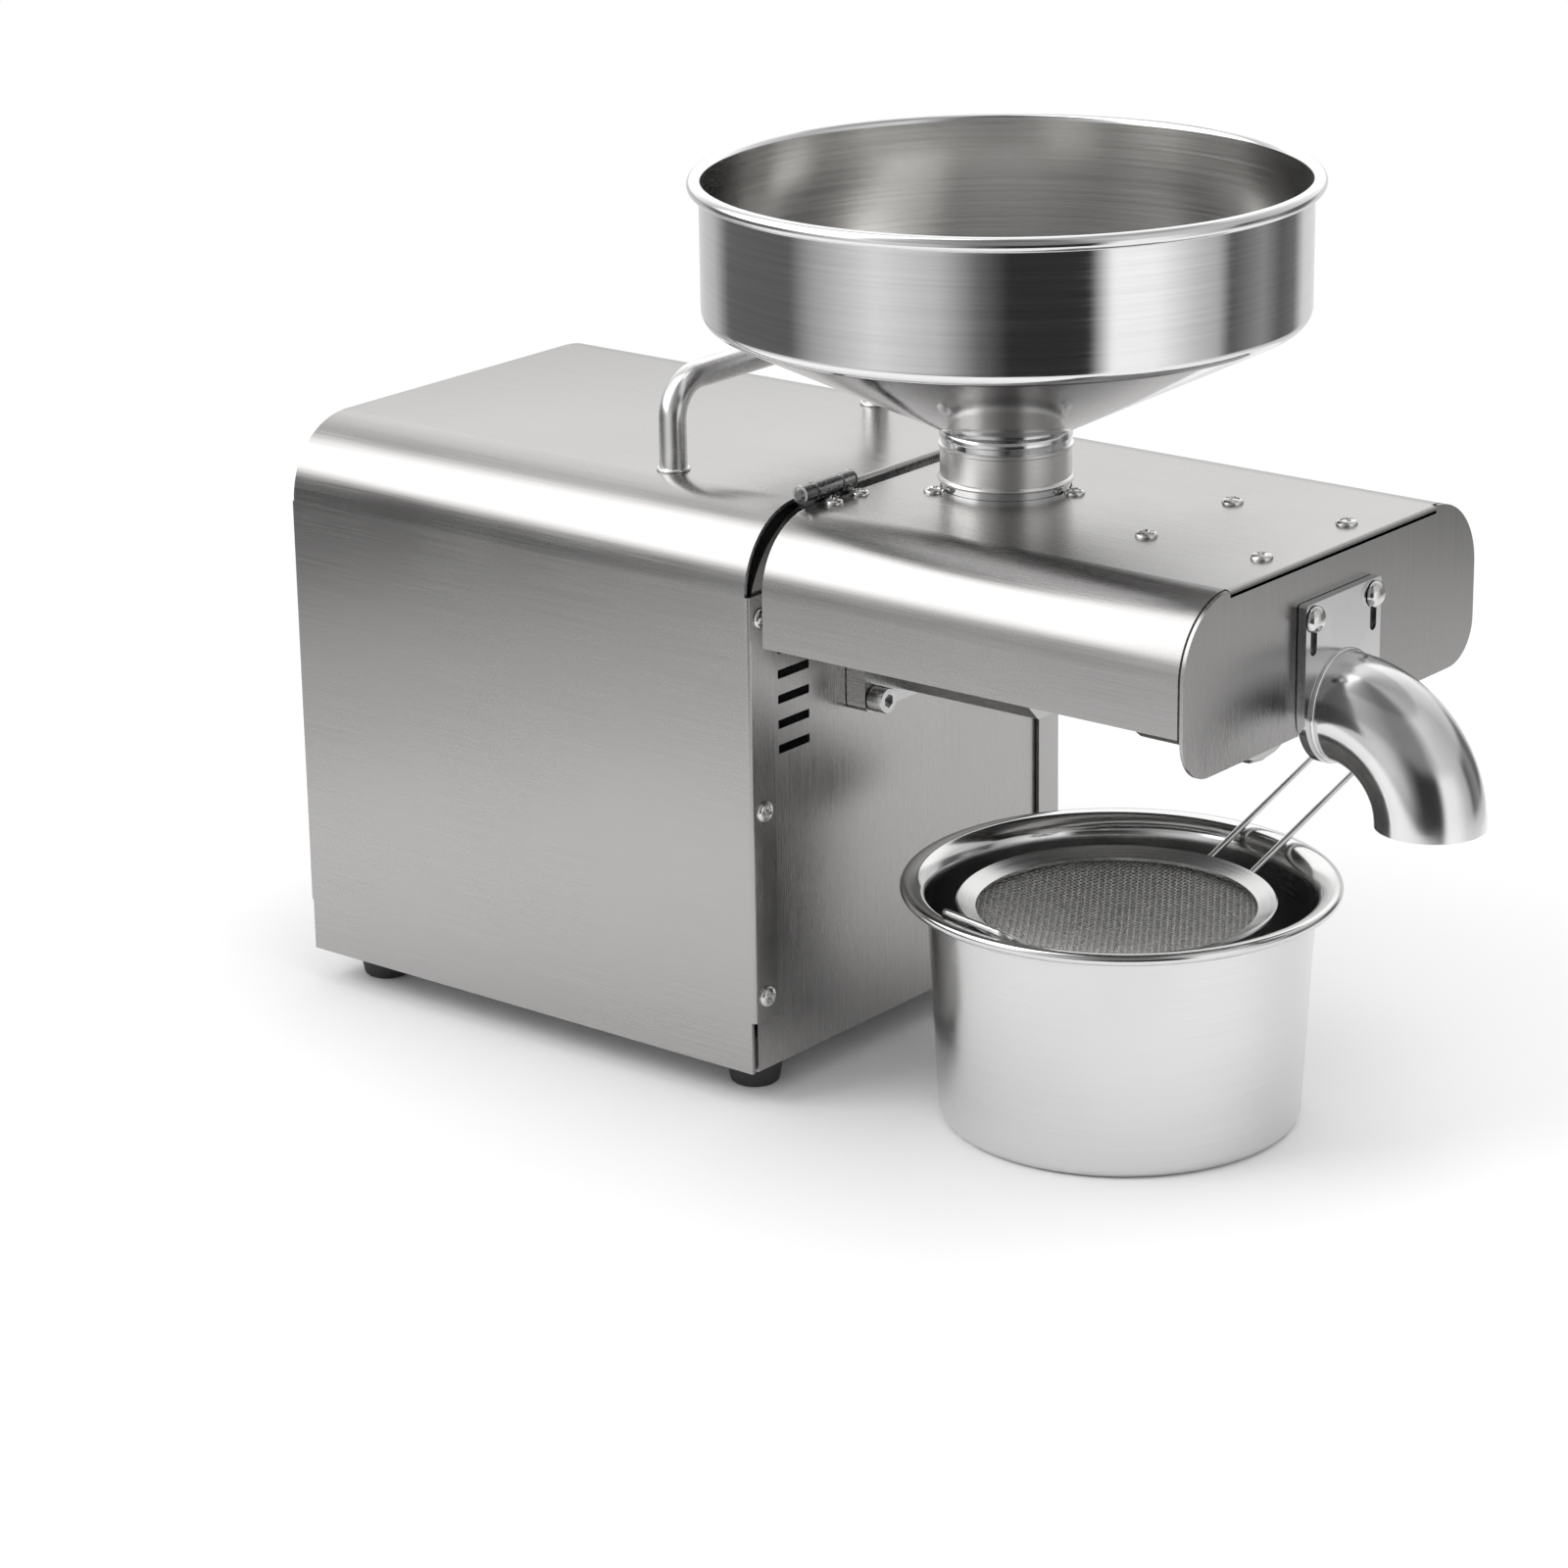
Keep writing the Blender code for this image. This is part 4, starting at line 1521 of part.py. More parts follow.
def build_strainer():
    """Strainer that hangs in the pot: a band, a wire mesh, a handle and a rest."""
    top = POT_HEIGHT - STRAINER_SINK
    turn = math.radians(STRAINER_TURN_DEG)
    along = Vector((math.cos(turn), math.sin(turn), 0))
    across = Vector((-along.y, along.x, 0))
    origin = Vector((POT_X, forward(POT_FORWARD), 0)) - along * STRAINER_SHIFT
    centre = tuple(origin)
    inner = STRAINER_RADIUS - STRAINER_BAND
    thick = STRAINER_BAND_THICKNESS
    band = [
        (STRAINER_RADIUS - thick, top), (STRAINER_RADIUS, top - thick),
        (STRAINER_RADIUS - thick, top - 2 * thick), (inner, top - STRAINER_BAND_DROP - thick),
        (inner, top - STRAINER_BAND_DROP),
    ]
    rim = turned("strainer_rim", band, centre, STRAINER_STEPS, closed=True)
    finish_solid(apply_modifiers(rim), SATIN_STEEL)
    edge_top = top - STRAINER_BAND_DROP - thick - FIT_GAP
    edge_radius = inner + STRAINER_BAND / 4
    sag_steps = 4
    upper, lower = [], []
    for step in range(sag_steps + 1):
        share = step / sag_steps
        drop = MESH_SAG * (1 - share ** 2)
        upper.append((edge_radius * share, edge_top - drop))
        lower.append((edge_radius * share, edge_top - MESH_THICKNESS - drop))
    mesh = turned("strainer_mesh", upper + lower[::-1], centre, STRAINER_STEPS)
    finish_solid(apply_modifiers(mesh), SATIN_STEEL)
    wire = STRAINER_WIRE_RADIUS
    start_z = top - thick

    def wire_point(reach, side, height):
        return tuple(origin + along * reach + across * side + Vector((0, 0, height)))

    half = STRAINER_HANDLE_HALF_GAP
    start = math.sqrt((STRAINER_RADIUS + 2 * FIT_GAP) ** 2 - (half - wire) ** 2)
    end = start + STRAINER_HANDLE_REACH
    rise = STRAINER_HANDLE_RISE_SHARE
    path = [wire_point(start, -half, start_z)]
    for reach, side in arc((end - half, 0), half, -90, 90, 8):
        path.append(wire_point(reach, side, start_z + (reach - start) * rise))
    path.append(wire_point(start, half, start_z))
    finish_solid(tube("strainer_handle", path, wire, 2), SATIN_STEEL)
    half = REST_HALF_WIDTH
    start = -math.sqrt((STRAINER_RADIUS + 2 * FIT_GAP) ** 2 - (half - wire) ** 2)
    end = start - REST_REACH
    corner = REST_REACH / 3
    lift = (pot_lip(math.hypot(end - STRAINER_SHIFT, half)) + wire + 2 * FIT_GAP - start_z) / REST_REACH
    outline = [(start, half)]
    outline += arc((end + corner, half - corner), corner, 90, 180, 4)
    outline += arc((end + corner, corner - half), corner, 180, 270, 4)
    outline.append((start, -half))
    path = []
    for reach, side in outline:
        path.append(wire_point(reach, side, start_z + (start - reach) * lift))
    finish_solid(tube("strainer_rest", path, wire, 2), SATIN_STEEL)


build_body_cover()
build_front_panel()
build_rear_panel()
build_base()
build_feet()
build_carry_handle()
build_inlet()
build_switch("power", -SWITCH_X, -ROCKER_TILT_DEG, RED_PLASTIC)
build_switch("direction", SWITCH_X, 0, BLACK_PLASTIC)
build_barrel()
build_flange_bolts()
build_cage()
build_press_screw()
build_outlet_end()
build_gears()
build_output_shaft()
build_gearbox()
build_motor()
build_saddle()
build_board()
build_head_cover()
build_hinge("left", -HINGE_X)
build_hinge("right", HINGE_X)
build_cover_fittings()
build_hopper()
build_outlet()
build_pot()
build_strainer()
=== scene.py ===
import math

import bmesh
import bpy
from mathutils import Matrix, Vector

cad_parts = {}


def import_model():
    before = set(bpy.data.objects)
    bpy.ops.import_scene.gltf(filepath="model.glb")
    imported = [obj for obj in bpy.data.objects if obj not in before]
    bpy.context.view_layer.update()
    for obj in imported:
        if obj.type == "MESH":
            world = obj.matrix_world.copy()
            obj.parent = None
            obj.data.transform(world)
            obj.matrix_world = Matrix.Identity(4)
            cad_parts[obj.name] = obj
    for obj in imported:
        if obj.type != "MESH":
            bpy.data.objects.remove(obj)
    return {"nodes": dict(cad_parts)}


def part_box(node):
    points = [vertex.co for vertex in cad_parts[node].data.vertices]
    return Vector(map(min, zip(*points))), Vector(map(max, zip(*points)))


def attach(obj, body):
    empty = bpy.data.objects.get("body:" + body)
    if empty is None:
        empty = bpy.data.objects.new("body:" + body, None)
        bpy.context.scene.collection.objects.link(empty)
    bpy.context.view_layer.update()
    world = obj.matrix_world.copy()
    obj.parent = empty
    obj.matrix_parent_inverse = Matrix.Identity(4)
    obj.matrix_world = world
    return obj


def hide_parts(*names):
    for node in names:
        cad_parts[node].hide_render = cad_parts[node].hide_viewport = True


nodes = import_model()["nodes"]
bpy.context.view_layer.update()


# Camera, floor and studio.
# The product stands on a white table, seen from its front left and a little above.
# A round wall with soft panels and black flags gives polished steel its light and dark bands.

camera_turn, camera_rise, camera_roll = map(math.radians, (-50.9, 18.7, -0.9))
camera_spot = (-1.1995, -0.9133, 0.6017)
focal_length, picture_width, sensor_width = 4846.5, 1600, 36
across = Vector((math.cos(camera_turn), math.sin(camera_turn), 0))
towards = Vector((
    math.sin(camera_turn) * math.cos(camera_rise),
    -math.cos(camera_turn) * math.cos(camera_rise),
    math.sin(camera_rise),
))
upward = towards.cross(across)
right_way = across * math.cos(camera_roll) + upward * math.sin(camera_roll)
up_way = upward * math.cos(camera_roll) - across * math.sin(camera_roll)


def place_object(name, data):
    made = bpy.data.objects.new(name, data)
    bpy.context.scene.collection.objects.link(made)
    return made


camera_data = bpy.data.cameras.new("camera")
camera_data.sensor_width = sensor_width
camera_data.lens = focal_length / picture_width * sensor_width
camera_data.clip_start = 0.05
camera = place_object("camera", camera_data)
camera.matrix_world = Matrix(
    [(right_way[i], up_way[i], towards[i], camera_spot[i]) for i in range(3)] + [(0, 0, 0, 1)]
)
bpy.context.scene.camera = camera
bpy.context.scene.view_settings.view_transform = "Standard"


def material(name):
    made = bpy.data.materials.new(name)
    made.use_nodes = True
    tree = made.node_tree
    return made, tree, tree.nodes["Principled BSDF"]


def feed(tree, socket, value):
    if isinstance(value, bpy.types.NodeSocket):
        tree.links.new(value, socket)
    else:
        socket.default_value = value


def add(tree, kind, feeds=None, **settings):
    """New node; each of its feeds is a plain value or the output of another node."""
    node = tree.nodes.new(kind)
    for key, value in settings.items():
        setattr(node, key, value)
    for key, value in (feeds or {}).items():
        feed(tree, node.inputs[key], value)
    return node


def calculate(tree, operation, *values):
    return add(tree, "ShaderNodeMath", dict(enumerate(values)), operation=operation).outputs[0]


def share_between(tree, value, low, high, **settings):
    feeds = {"Value": value, "From Min": low, "From Max": high}
    return add(tree, "ShaderNodeMapRange", feeds, **settings).outputs["Result"]


def tone_mix(tree, factor, dark, light):
    ends = [end if isinstance(end, bpy.types.NodeSocket) else (*end, 1) for end in (dark, light)]
    feeds = {"Factor": factor, "A": ends[0], "B": ends[1]}
    return add(tree, "ShaderNodeMix", feeds, data_type="RGBA").outputs["Result"]


def mesh_object(name, build):
    mesh = bpy.data.meshes.new(name)
    editable = bmesh.new()
    build(editable)
    editable.to_mesh(mesh)
    editable.free()
    return place_object(name, mesh)


def circle(x, y, radius, steps):
    turns = [2 * math.pi * i / steps for i in range(steps)]
    return [(x + radius * math.cos(turn), y + radius * math.sin(turn)) for turn in turns]


def skin(editable, low, high):
    """Faces between two matching rings of points."""
    for i in range(len(low)):
        after = (i + 1) % len(low)
        editable.faces.new((low[i], high[i], high[after], low[after]))


def build_floor(editable):
    bmesh.ops.create_grid(editable, x_segments=8, y_segments=8, size=12)


floor = mesh_object("table_floor", build_floor)
floor_paint, tree, shader = material("white_table")
shader.inputs["Base Color"].default_value = (0.93, 0.93, 0.93, 1)
shader.inputs["Roughness"].default_value = 0.9
shader.inputs["Specular IOR Level"].default_value = 0.0
place = add(tree, "ShaderNodeTexCoord")
far_away = add(tree, "ShaderNodeVectorMath", {0: place.outputs["Object"]}, operation="LENGTH")
fade = share_between(tree, far_away.outputs["Value"], 0.28, 0.75, interpolation_type="SMOOTHSTEP")
backdrop = add(tree, "ShaderNodeEmission")
blend_floor = add(tree, "ShaderNodeMixShader", {"Fac": fade, 1: shader.outputs[0], 2: backdrop.outputs[0]})
tree.links.new(blend_floor.outputs[0], tree.nodes["Material Output"].inputs["Surface"])
floor.data.materials.append(floor_paint)

world = bpy.data.worlds.new("studio_air")
bpy.context.scene.world = world
world.use_nodes = True
tree = world.node_tree
sky = tree.nodes["Background"]
rays = add(tree, "ShaderNodeLightPath")
seen = calculate(tree, "MAXIMUM", rays.outputs["Is Camera Ray"], rays.outputs["Is Transmission Ray"])
seen = calculate(tree, "MAXIMUM", seen, rays.outputs["Is Glossy Ray"])
feed(tree, sky.inputs["Color"], tone_mix(tree, seen, (0.86, 0.86, 0.87), (1, 1, 1)))
sky.inputs["Strength"].default_value = 1.0

wall_centre_y, ceiling_z = -0.03, 1.05
wall_rings = ((0.002, 0.49), (0.04, 0.58), (0.12, 0.64), (0.30, 0.66), (ceiling_z, 0.66))


def build_surround(editable):
    rings = []
    for height, radius in wall_rings:
        rings.append([editable.verts.new((x, y, height)) for x, y in circle(0, wall_centre_y, radius, 96)])
    for low, high in zip(rings, rings[1:]):
        skin(editable, low, high)
    editable.faces.new(rings[-1])


surround = mesh_object("studio_panels", build_surround)
panel_light, tree, shader = material("studio_panels")
tree.nodes.remove(shader)
place = add(tree, "ShaderNodeTexCoord")
parts = add(tree, "ShaderNodeSeparateXYZ", {0: place.outputs["Object"]})
from_axis = calculate(tree, "ADD", parts.outputs["Y"], -wall_centre_y)
# The level direction from the middle of the table to the camera.
camera_x, camera_y = -0.776, -0.631
front_share = calculate(
    tree, "ADD", calculate(tree, "MULTIPLY", parts.outputs["X"], camera_x),
    calculate(tree, "MULTIPLY", from_axis, camera_y),
)
side_share = calculate(
    tree, "ADD", calculate(tree, "MULTIPLY", parts.outputs["X"], -camera_y),
    calculate(tree, "MULTIPLY", from_axis, camera_x),
)
around = calculate(tree, "ARCTAN2", side_share, front_share)
turn_share = calculate(tree, "ADD", calculate(tree, "DIVIDE", around, 2 * math.pi), 0.5)


def bands(tree, factor, stops):
    """Levels of light round the wall: degrees from the camera's side, and the level there."""
    ramp = add(tree, "ShaderNodeValToRGB", {"Fac": factor})
    elements = ramp.color_ramp.elements
    while len(elements) > 1:
        elements.remove(elements[-1])
    elements[0].position = (stops[0][0] + 180) / 360
    elements[0].color = (stops[0][1],) * 3 + (1,)
    for degrees, level in stops[1:]:
        elements.new((degrees + 180) / 360).color = (level,) * 3 + (1,)
    return ramp.outputs["Color"]


lower = bands(tree, turn_share, [
    (-180, 0.85), (-135, 0.55), (-122, 0.14), (-84, 0.12), (-74, 0.40), (-48, 0.86), (-26, 0.60),
    (-12, 0.16), (-2, 0.03), (26, 0.03), (34, 1.15), (50, 1.10), (66, 0.66), (76, 0.50),
    (82, 0.10), (100, 0.30), (112, 0.12), (124, 0.18), (134, 0.75), (180, 0.85),
])
table_edge = bands(tree, turn_share, [
    (-180, 0.85), (-135, 0.80), (-122, 0.85), (-84, 0.85), (-74, 0.75), (-48, 0.70), (-26, 0.40),
    (-12, 0.10), (-2, 0.03), (26, 0.03), (34, 1.15), (50, 1.10), (66, 0.80), (76, 0.75), (82, 0.75),
    (124, 0.75), (134, 0.80), (180, 0.85),
])
upper = bands(tree, turn_share, [
    (-180, 1.0), (-150, 1.0), (-125, 0.60), (-112, 0.8), (-50, 0.8), (-40, 0.55), (-10, 0.25),
    (20, 0.25), (40, 0.80), (90, 0.55), (130, 0.90), (150, 1.0), (180, 1.0),
])
band_glow = bands(tree, turn_share, [
    (-180, 0.16), (-146, 0.14), (-124, 0.05), (-106, 1), (-62, 1), (-50, 0), (122, 0), (146, 0.14),
    (180, 0.16),
])
height = parts.outputs["Z"]
height_share = share_between(tree, height, 0.27, 0.37, interpolation_type="SMOOTHSTEP")
above_table = share_between(tree, height, 0.02, 0.08, interpolation_type="SMOOTHSTEP")
level = tone_mix(tree, height_share, tone_mix(tree, above_table, table_edge, lower), upper)
glow_gain, ceiling_loss = 2.6, -0.35
glow = calculate(tree, "MULTIPLY", calculate(tree, "MULTIPLY", band_glow, height_share), glow_gain)
ceiling = calculate(tree, "MULTIPLY", calculate(tree, "GREATER_THAN", height, ceiling_z - 0.01), ceiling_loss)
strength = calculate(tree, "ADD", calculate(tree, "ADD", glow, ceiling), 1.0)
lamp = add(tree, "ShaderNodeEmission", {"Color": level, "Strength": strength})
tree.links.new(lamp.outputs[0], tree.nodes["Material Output"].inputs["Surface"])
surround.data.materials.append(panel_light)
for seen_by in ("camera", "diffuse", "transmission", "shadow"):
    setattr(surround, f"visible_{seen_by}", False)

lamp_target = Vector((0, -0.05, 0.12))
for name, spot, size, power in (
    ("soft_box_left", (-1.1, 0.75, 1.25), 0.9, 9.0),
    ("soft_box_top", (0.25, -0.35, 1.7), 1.1, 9.0),
):
    lamp_data = bpy.data.lights.new(name, "AREA")
    lamp_data.size = size
    lamp_data.energy = power
    lamp_object = place_object(name, lamp_data)
    lamp_object.location = spot
    lamp_object.rotation_euler = (lamp_target - Vector(spot)).to_track_quat("-Z", "Y").to_euler()


# Base plate, feet and panels.
# The base is a folded stainless tray; four moulded rubber feet are screwed under it.
# Front and rear panels are 1.2 mm brushed sheet, punched with vents and the fan's petals.

sheet, gap, fold = 0.0012, 0.0003, 0.0015
underside, front_y, rear_y = 0.0118, 0.006, 0.208
body_half, body_top, body_bend = 0.085, 0.2018, 0.027
panel_half, panel_top = body_half - fold, body_top - fold
press_z, fan_z, switch_z = underside + 0.1415, underside + 0.091, underside + 0.157
switch_x, inlet_x, inlet_z = 0.051, 0.057, underside + 0.0325
bolt_spots = {
    "lower_left": (-0.029, -0.0245), "upper_left": (-0.029, 0.0245),
    "lower_right": (0.029, -0.0245), "upper_right": (0.029, 0.0245),
}


def at(forward_mm):
    return front_y - forward_mm / 1000


def effect(name, inputs, outputs):
    group = bpy.data.node_groups.new(name, "ShaderNodeTree")
    for label, kind, value in inputs:
        socket = group.interface.new_socket(name=label, in_out="INPUT", socket_type=kind)
        socket.default_value = value
    for label, kind in outputs:
        group.interface.new_socket(name=label, in_out="OUTPUT", socket_type=kind)
    return group, group.nodes.new("NodeGroupInput"), group.nodes.new("NodeGroupOutput")


def grain_noise(group, given, feeds, **settings):
    noise = add(group, "ShaderNodeTexNoise", feeds, **settings)
    for label in ("Tone", "Height"):
        group.links.new(noise.outputs["Fac"], given.inputs[label])


number = "NodeSocketFloat"
rolled_grain, taken, given = effect(
    "rolled_grain", [("Fineness", number, 1500.0), ("Length", number, 30.0)],
    [("Tone", number), ("Height", number)],
)
place = add(rolled_grain, "ShaderNodeTexCoord")
parts = add(rolled_grain, "ShaderNodeSeparateXYZ", {0: place.outputs["Object"]})
faces = add(rolled_grain, "ShaderNodeNewGeometry")
facing = add(rolled_grain, "ShaderNodeSeparateXYZ", {0: faces.outputs["Normal"]})
# On the end faces the grain runs up and down, elsewhere along the body.
is_end = calculate(rolled_grain, "GREATER_THAN", calculate(rolled_grain, "ABSOLUTE", facing.outputs["Y"]), 0.7)
fine, long = taken.outputs["Fineness"], taken.outputs["Length"]
upright = calculate(
    rolled_grain, "ADD", calculate(rolled_grain, "MULTIPLY", is_end, long),
    calculate(rolled_grain, "MULTIPLY", calculate(rolled_grain, "SUBTRACT", 1.0, is_end), fine),
)
stretched = add(rolled_grain, "ShaderNodeCombineXYZ", {
    axis: calculate(rolled_grain, "MULTIPLY", parts.outputs[axis], amount)
    for axis, amount in (("X", fine), ("Y", long), ("Z", upright))
})
grain_noise(rolled_grain, given, {"Vector": stretched.outputs[0], "Scale": 1.0, "Detail": 3.0, "Roughness": 0.62})

handling_marks, taken, given = effect("handling_marks", [("Size", number, 14.0)], [("Mask", number)])
place = add(handling_marks, "ShaderNodeTexCoord")
cloud = add(handling_marks, "ShaderNodeTexNoise", {
    "Vector": place.outputs["Object"], "Scale": taken.outputs["Size"], "Detail": 5.0,
})
feed(handling_marks, given.inputs["Mask"], share_between(handling_marks, cloud.outputs["Fac"], 0.38, 0.68))


def use(tree, group, **values):
    return add(tree, "ShaderNodeGroup", values, node_tree=group)


def span(tree, factor, low, high):
    """A noise's useful range, drawn out to a range of values."""
    feeds = {"Value": factor, "From Min": 0.25, "From Max": 0.75, "To Min": low, "To Max": high}
    return add(tree, "ShaderNodeMapRange", feeds).outputs["Result"]


def raise_surface(tree, shader, height, strength, distance=0.00004):
    raised = add(tree, "ShaderNodeBump", {"Strength": strength, "Distance": distance, "Height": height})
    tree.links.new(raised.outputs[0], shader.inputs["Normal"])


def grained_steel(name, dark, light, roughness, grain_group=rolled_grain, bump=0.2, marks=0.06, **grain_values):
    made, tree, shader = material(name)
    grain = use(tree, grain_group, **grain_values)
    smudge = use(tree, handling_marks, Size=11.0)
    feed(tree, shader.inputs["Base Color"], tone_mix(tree, span(tree, grain.outputs["Tone"], 0, 1), dark, light))
    base = span(tree, grain.outputs["Tone"], roughness - 0.04, roughness + 0.04)
    worn = calculate(tree, "MULTIPLY", smudge.outputs["Mask"], marks)
    feed(tree, shader.inputs["Roughness"], calculate(tree, "ADD", base, worn))
    raise_surface(tree, shader, grain.outputs["Height"], bump)
    shader.inputs["Metallic"].default_value = 1.0
    return made


def finish_nodes(paint, *names):
    for name in names:
        for slot in nodes[name].material_slots:
            slot.material = paint


def fit(made, body, paint=None, node=None):
    """Paint a dressed piece, and put it on its body in place of the plain solid."""
    if paint:
        made.data.materials.append(paint)
    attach(made, body)
    if node:
        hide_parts(node)


panel_steel = grained_steel(
    "panel_steel", (0.40, 0.392, 0.385), (0.44, 0.432, 0.425), 0.26, bump=0.05, Fineness=2100.0, Length=24.0,
)
finish_nodes(panel_steel, "base_plate")


def curve_points(centre, radius, start, end, steps):
    """Points along an arc, its start and end in degrees."""
    turns = [math.radians(start + (end - start) * i / steps) for i in range(steps + 1)]
    return [(centre[0] + radius * math.cos(turn), centre[1] + radius * math.sin(turn)) for turn in turns]


def sheet_with_holes(editable, outline, holes, place, low, high):
    """Flat sheet between two depths, its outline and holes given in the plane."""
    sides = []
    for depth in (low, high):
        loops = [[editable.verts.new(place(p, depth)) for p in line] for line in [outline] + holes]
        edges = [editable.edges.new((loop[i], loop[(i + 1) % len(loop)]))
                 for loop in loops for i in range(len(loop))]
        bmesh.ops.triangle_fill(editable, use_beauty=True, use_dissolve=False, edges=edges)
        sides.append(loops)
    for one, two in zip(*sides):
        for i in range(len(one)):
            after = (i + 1) % len(one)
            editable.faces.new((one[i], one[after], two[after], two[i]))


def upright_sheet(point, depth):
    return point[0], depth, point[1]


def panel_edge(panel_bend):
    """Outline of a panel: eased at the corners and below the tabs, so that a dark seam stays open."""
    low_half, step_up = panel_half - fold, underside + 0.0190
    left = [(-low_half, underside), (-low_half, step_up), (-panel_half, step_up)]
    left += curve_points((-panel_half + panel_bend, panel_top - panel_bend), panel_bend, 180, 90, 20)
    return left + [(-x, z) for x, z in reversed(left)]


def oblong(x, z, width, height, corner, steps=4):
    points = []
    for sx, sz, start in ((1, 1, 0), (-1, 1, 90), (-1, -1, 180), (1, -1, 270)):
        centre = (x + sx * (width / 2 - corner), z + sz * (height / 2 - corner))
        points += curve_points(centre, corner, start, start + 90, steps)
    return points


def build_front_panel(editable):
    vent_width, vent_height, vent_low, vent_pitch = 0.016, 0.0030, underside + 0.1080, 0.00845
    vent_x = -body_half + 0.0162 + vent_width / 2
    holes = [oblong(vent_x, vent_low + row * vent_pitch, vent_width, vent_height, 0.0004) for row in range(6)]
    shaft_hole, bolt_hole, corner_bend = 0.0096, 0.0028, 0.037
    holes.append(curve_points((0, press_z), shaft_hole, 0, 354, 59))
    for x, z in bolt_spots.values():
        holes.append(curve_points((x, press_z + z), bolt_hole, 0, 345, 23))
    face = front_y + fold
    sheet_with_holes(editable, panel_edge(corner_bend), holes, upright_sheet, face, face + sheet)
    bmesh.ops.recalc_face_normals(editable, faces=editable.faces)


def build_rear_panel(editable):
    petals, root_reach, root_half, tip_reach, tip = 18, 0.0105, 0.0009, 0.0385, 0.0029
    petal_line = [(root_reach, root_half)] + curve_points((tip_reach - tip, 0), tip, 90, -90, 12)
    petal_line.append((root_reach, -root_half))
    holes = []
    for petal in range(petals):
        turn = math.radians(10 + petal * 360 / petals)
        cosine, sine = math.cos(turn), math.sin(turn)
        holes.append([(reach * cosine - side * sine, fan_z + reach * sine + side * cosine)
                      for reach, side in petal_line])
    switch_hole, inlet_hole, corner_bend = (0.0136, 0.0201), (0.0191, 0.0266), 0.030
    for x in (-switch_x, switch_x):
        holes.append(oblong(x, switch_z, *switch_hole, gap))
    holes.append(oblong(inlet_x, inlet_z, *inlet_hole, gap))
    face = rear_y - fold
    sheet_with_holes(editable, panel_edge(corner_bend), holes, upright_sheet, face - sheet, face)
    bmesh.ops.recalc_face_normals(editable, faces=editable.faces)


moulded_skin, taken, given = effect(
    "moulded_skin", [("Size", number, 2600.0)], [("Height", number), ("Tone", number)],
)
place = add(moulded_skin, "ShaderNodeTexCoord")
grain_noise(moulded_skin, given, {
    "Vector": place.outputs["Object"], "Scale": taken.outputs["Size"], "Detail": 2.0,
})


def moulded(name, dark, light, roughness, size=2600.0, bump=0.25, metallic=0.0):
    made, tree, shader = material(name)
    pebble = use(tree, moulded_skin, Size=size)
    dust = use(tree, handling_marks, Size=30.0)
    feed(tree, shader.inputs["Base Color"], tone_mix(tree, dust.outputs["Mask"], dark, light))
    gloss = span(tree, pebble.outputs["Tone"], roughness - 0.05, roughness + 0.05)
    feed(tree, shader.inputs["Roughness"], gloss)
    raise_surface(tree, shader, pebble.outputs["Height"], bump, 0.00008)
    shader.inputs["Metallic"].default_value = metallic
    return made


def smooth(made, degrees=32):
    made.data.shade_smooth()
    made.data.set_sharp_from_angle(angle=math.radians(degrees))
    return made


for name, build in (("front_panel", build_front_panel), ("rear_panel", build_rear_panel)):
    panel = smooth(mesh_object(f"punched_{name}", build), 30)
    fit(panel, "body", panel_steel, name)


def revolve(name, profile, centre, steps=64, axis="z", closed=True):
    """Turned piece: (radius, height) pairs swept round an axis; ends on the axis close by themselves."""
    def build(editable):
        rings = []
        for radius, height in profile:
            ring = []
            for x, y in circle(0, 0, radius, 1 if radius < 1e-7 else steps):
                point = {"x": (height, x, y), "y": (x, height, y), "z": (x, y, height)}[axis]
                ring.append(editable.verts.new(Vector(point) + Vector(centre)))
            rings.append(ring)
        pairs = list(zip(rings, rings[1:]))
        if closed:
            pairs.append((rings[-1], rings[0]))
        for one, two in pairs:
            for step in range(steps):
                after = (step + 1) % steps
                corners = [one[step % len(one)], one[after % len(one)], two[after % len(two)], two[step % len(two)]]
                unique = [c for i, c in enumerate(corners) if c not in corners[:i]]
                if len(unique) > 2:
                    editable.faces.new(unique)
        bmesh.ops.recalc_face_normals(editable, faces=editable.faces)
    return smooth(mesh_object(name, build))


foot_rubber = moulded("foot_rubber", (0.016, 0.016, 0.017), (0.034, 0.034, 0.035), 0.62)
foot_profile = [
    (0.0001, 0.0115), (0.0094, 0.0115), (0.0099, 0.0112), (0.0100, 0.0106), (0.0084, 0.0018),
    (0.0081, 0.0008), (0.0074, 0.0002), (0.0068, 0.0), (0.0044, 0.0), (0.0042, 0.0003), (0.0042, 0.0050),
    (0.0001, 0.0050),
]
foot_x, foot_front_y, foot_rear_y = 0.065, 0.023, 0.191
for end, y in (("front", foot_front_y), ("rear", foot_rear_y)):
    for side, x in (("left", -foot_x), ("right", foot_x)):
        foot = revolve(f"rubber_foot_{end}_{side}", foot_profile, (x, y, 0), 48, closed=False)
        fit(foot, "body", foot_rubber, f"foot_{end}_{side}")


# Body cover.
# One brushed stainless sheet folded over the machine; its ends turn in as screwed tabs.
# The bends at the top are large, and the corners between the tabs stay open.

side_tab, top_tab = 0.0125, 0.0096


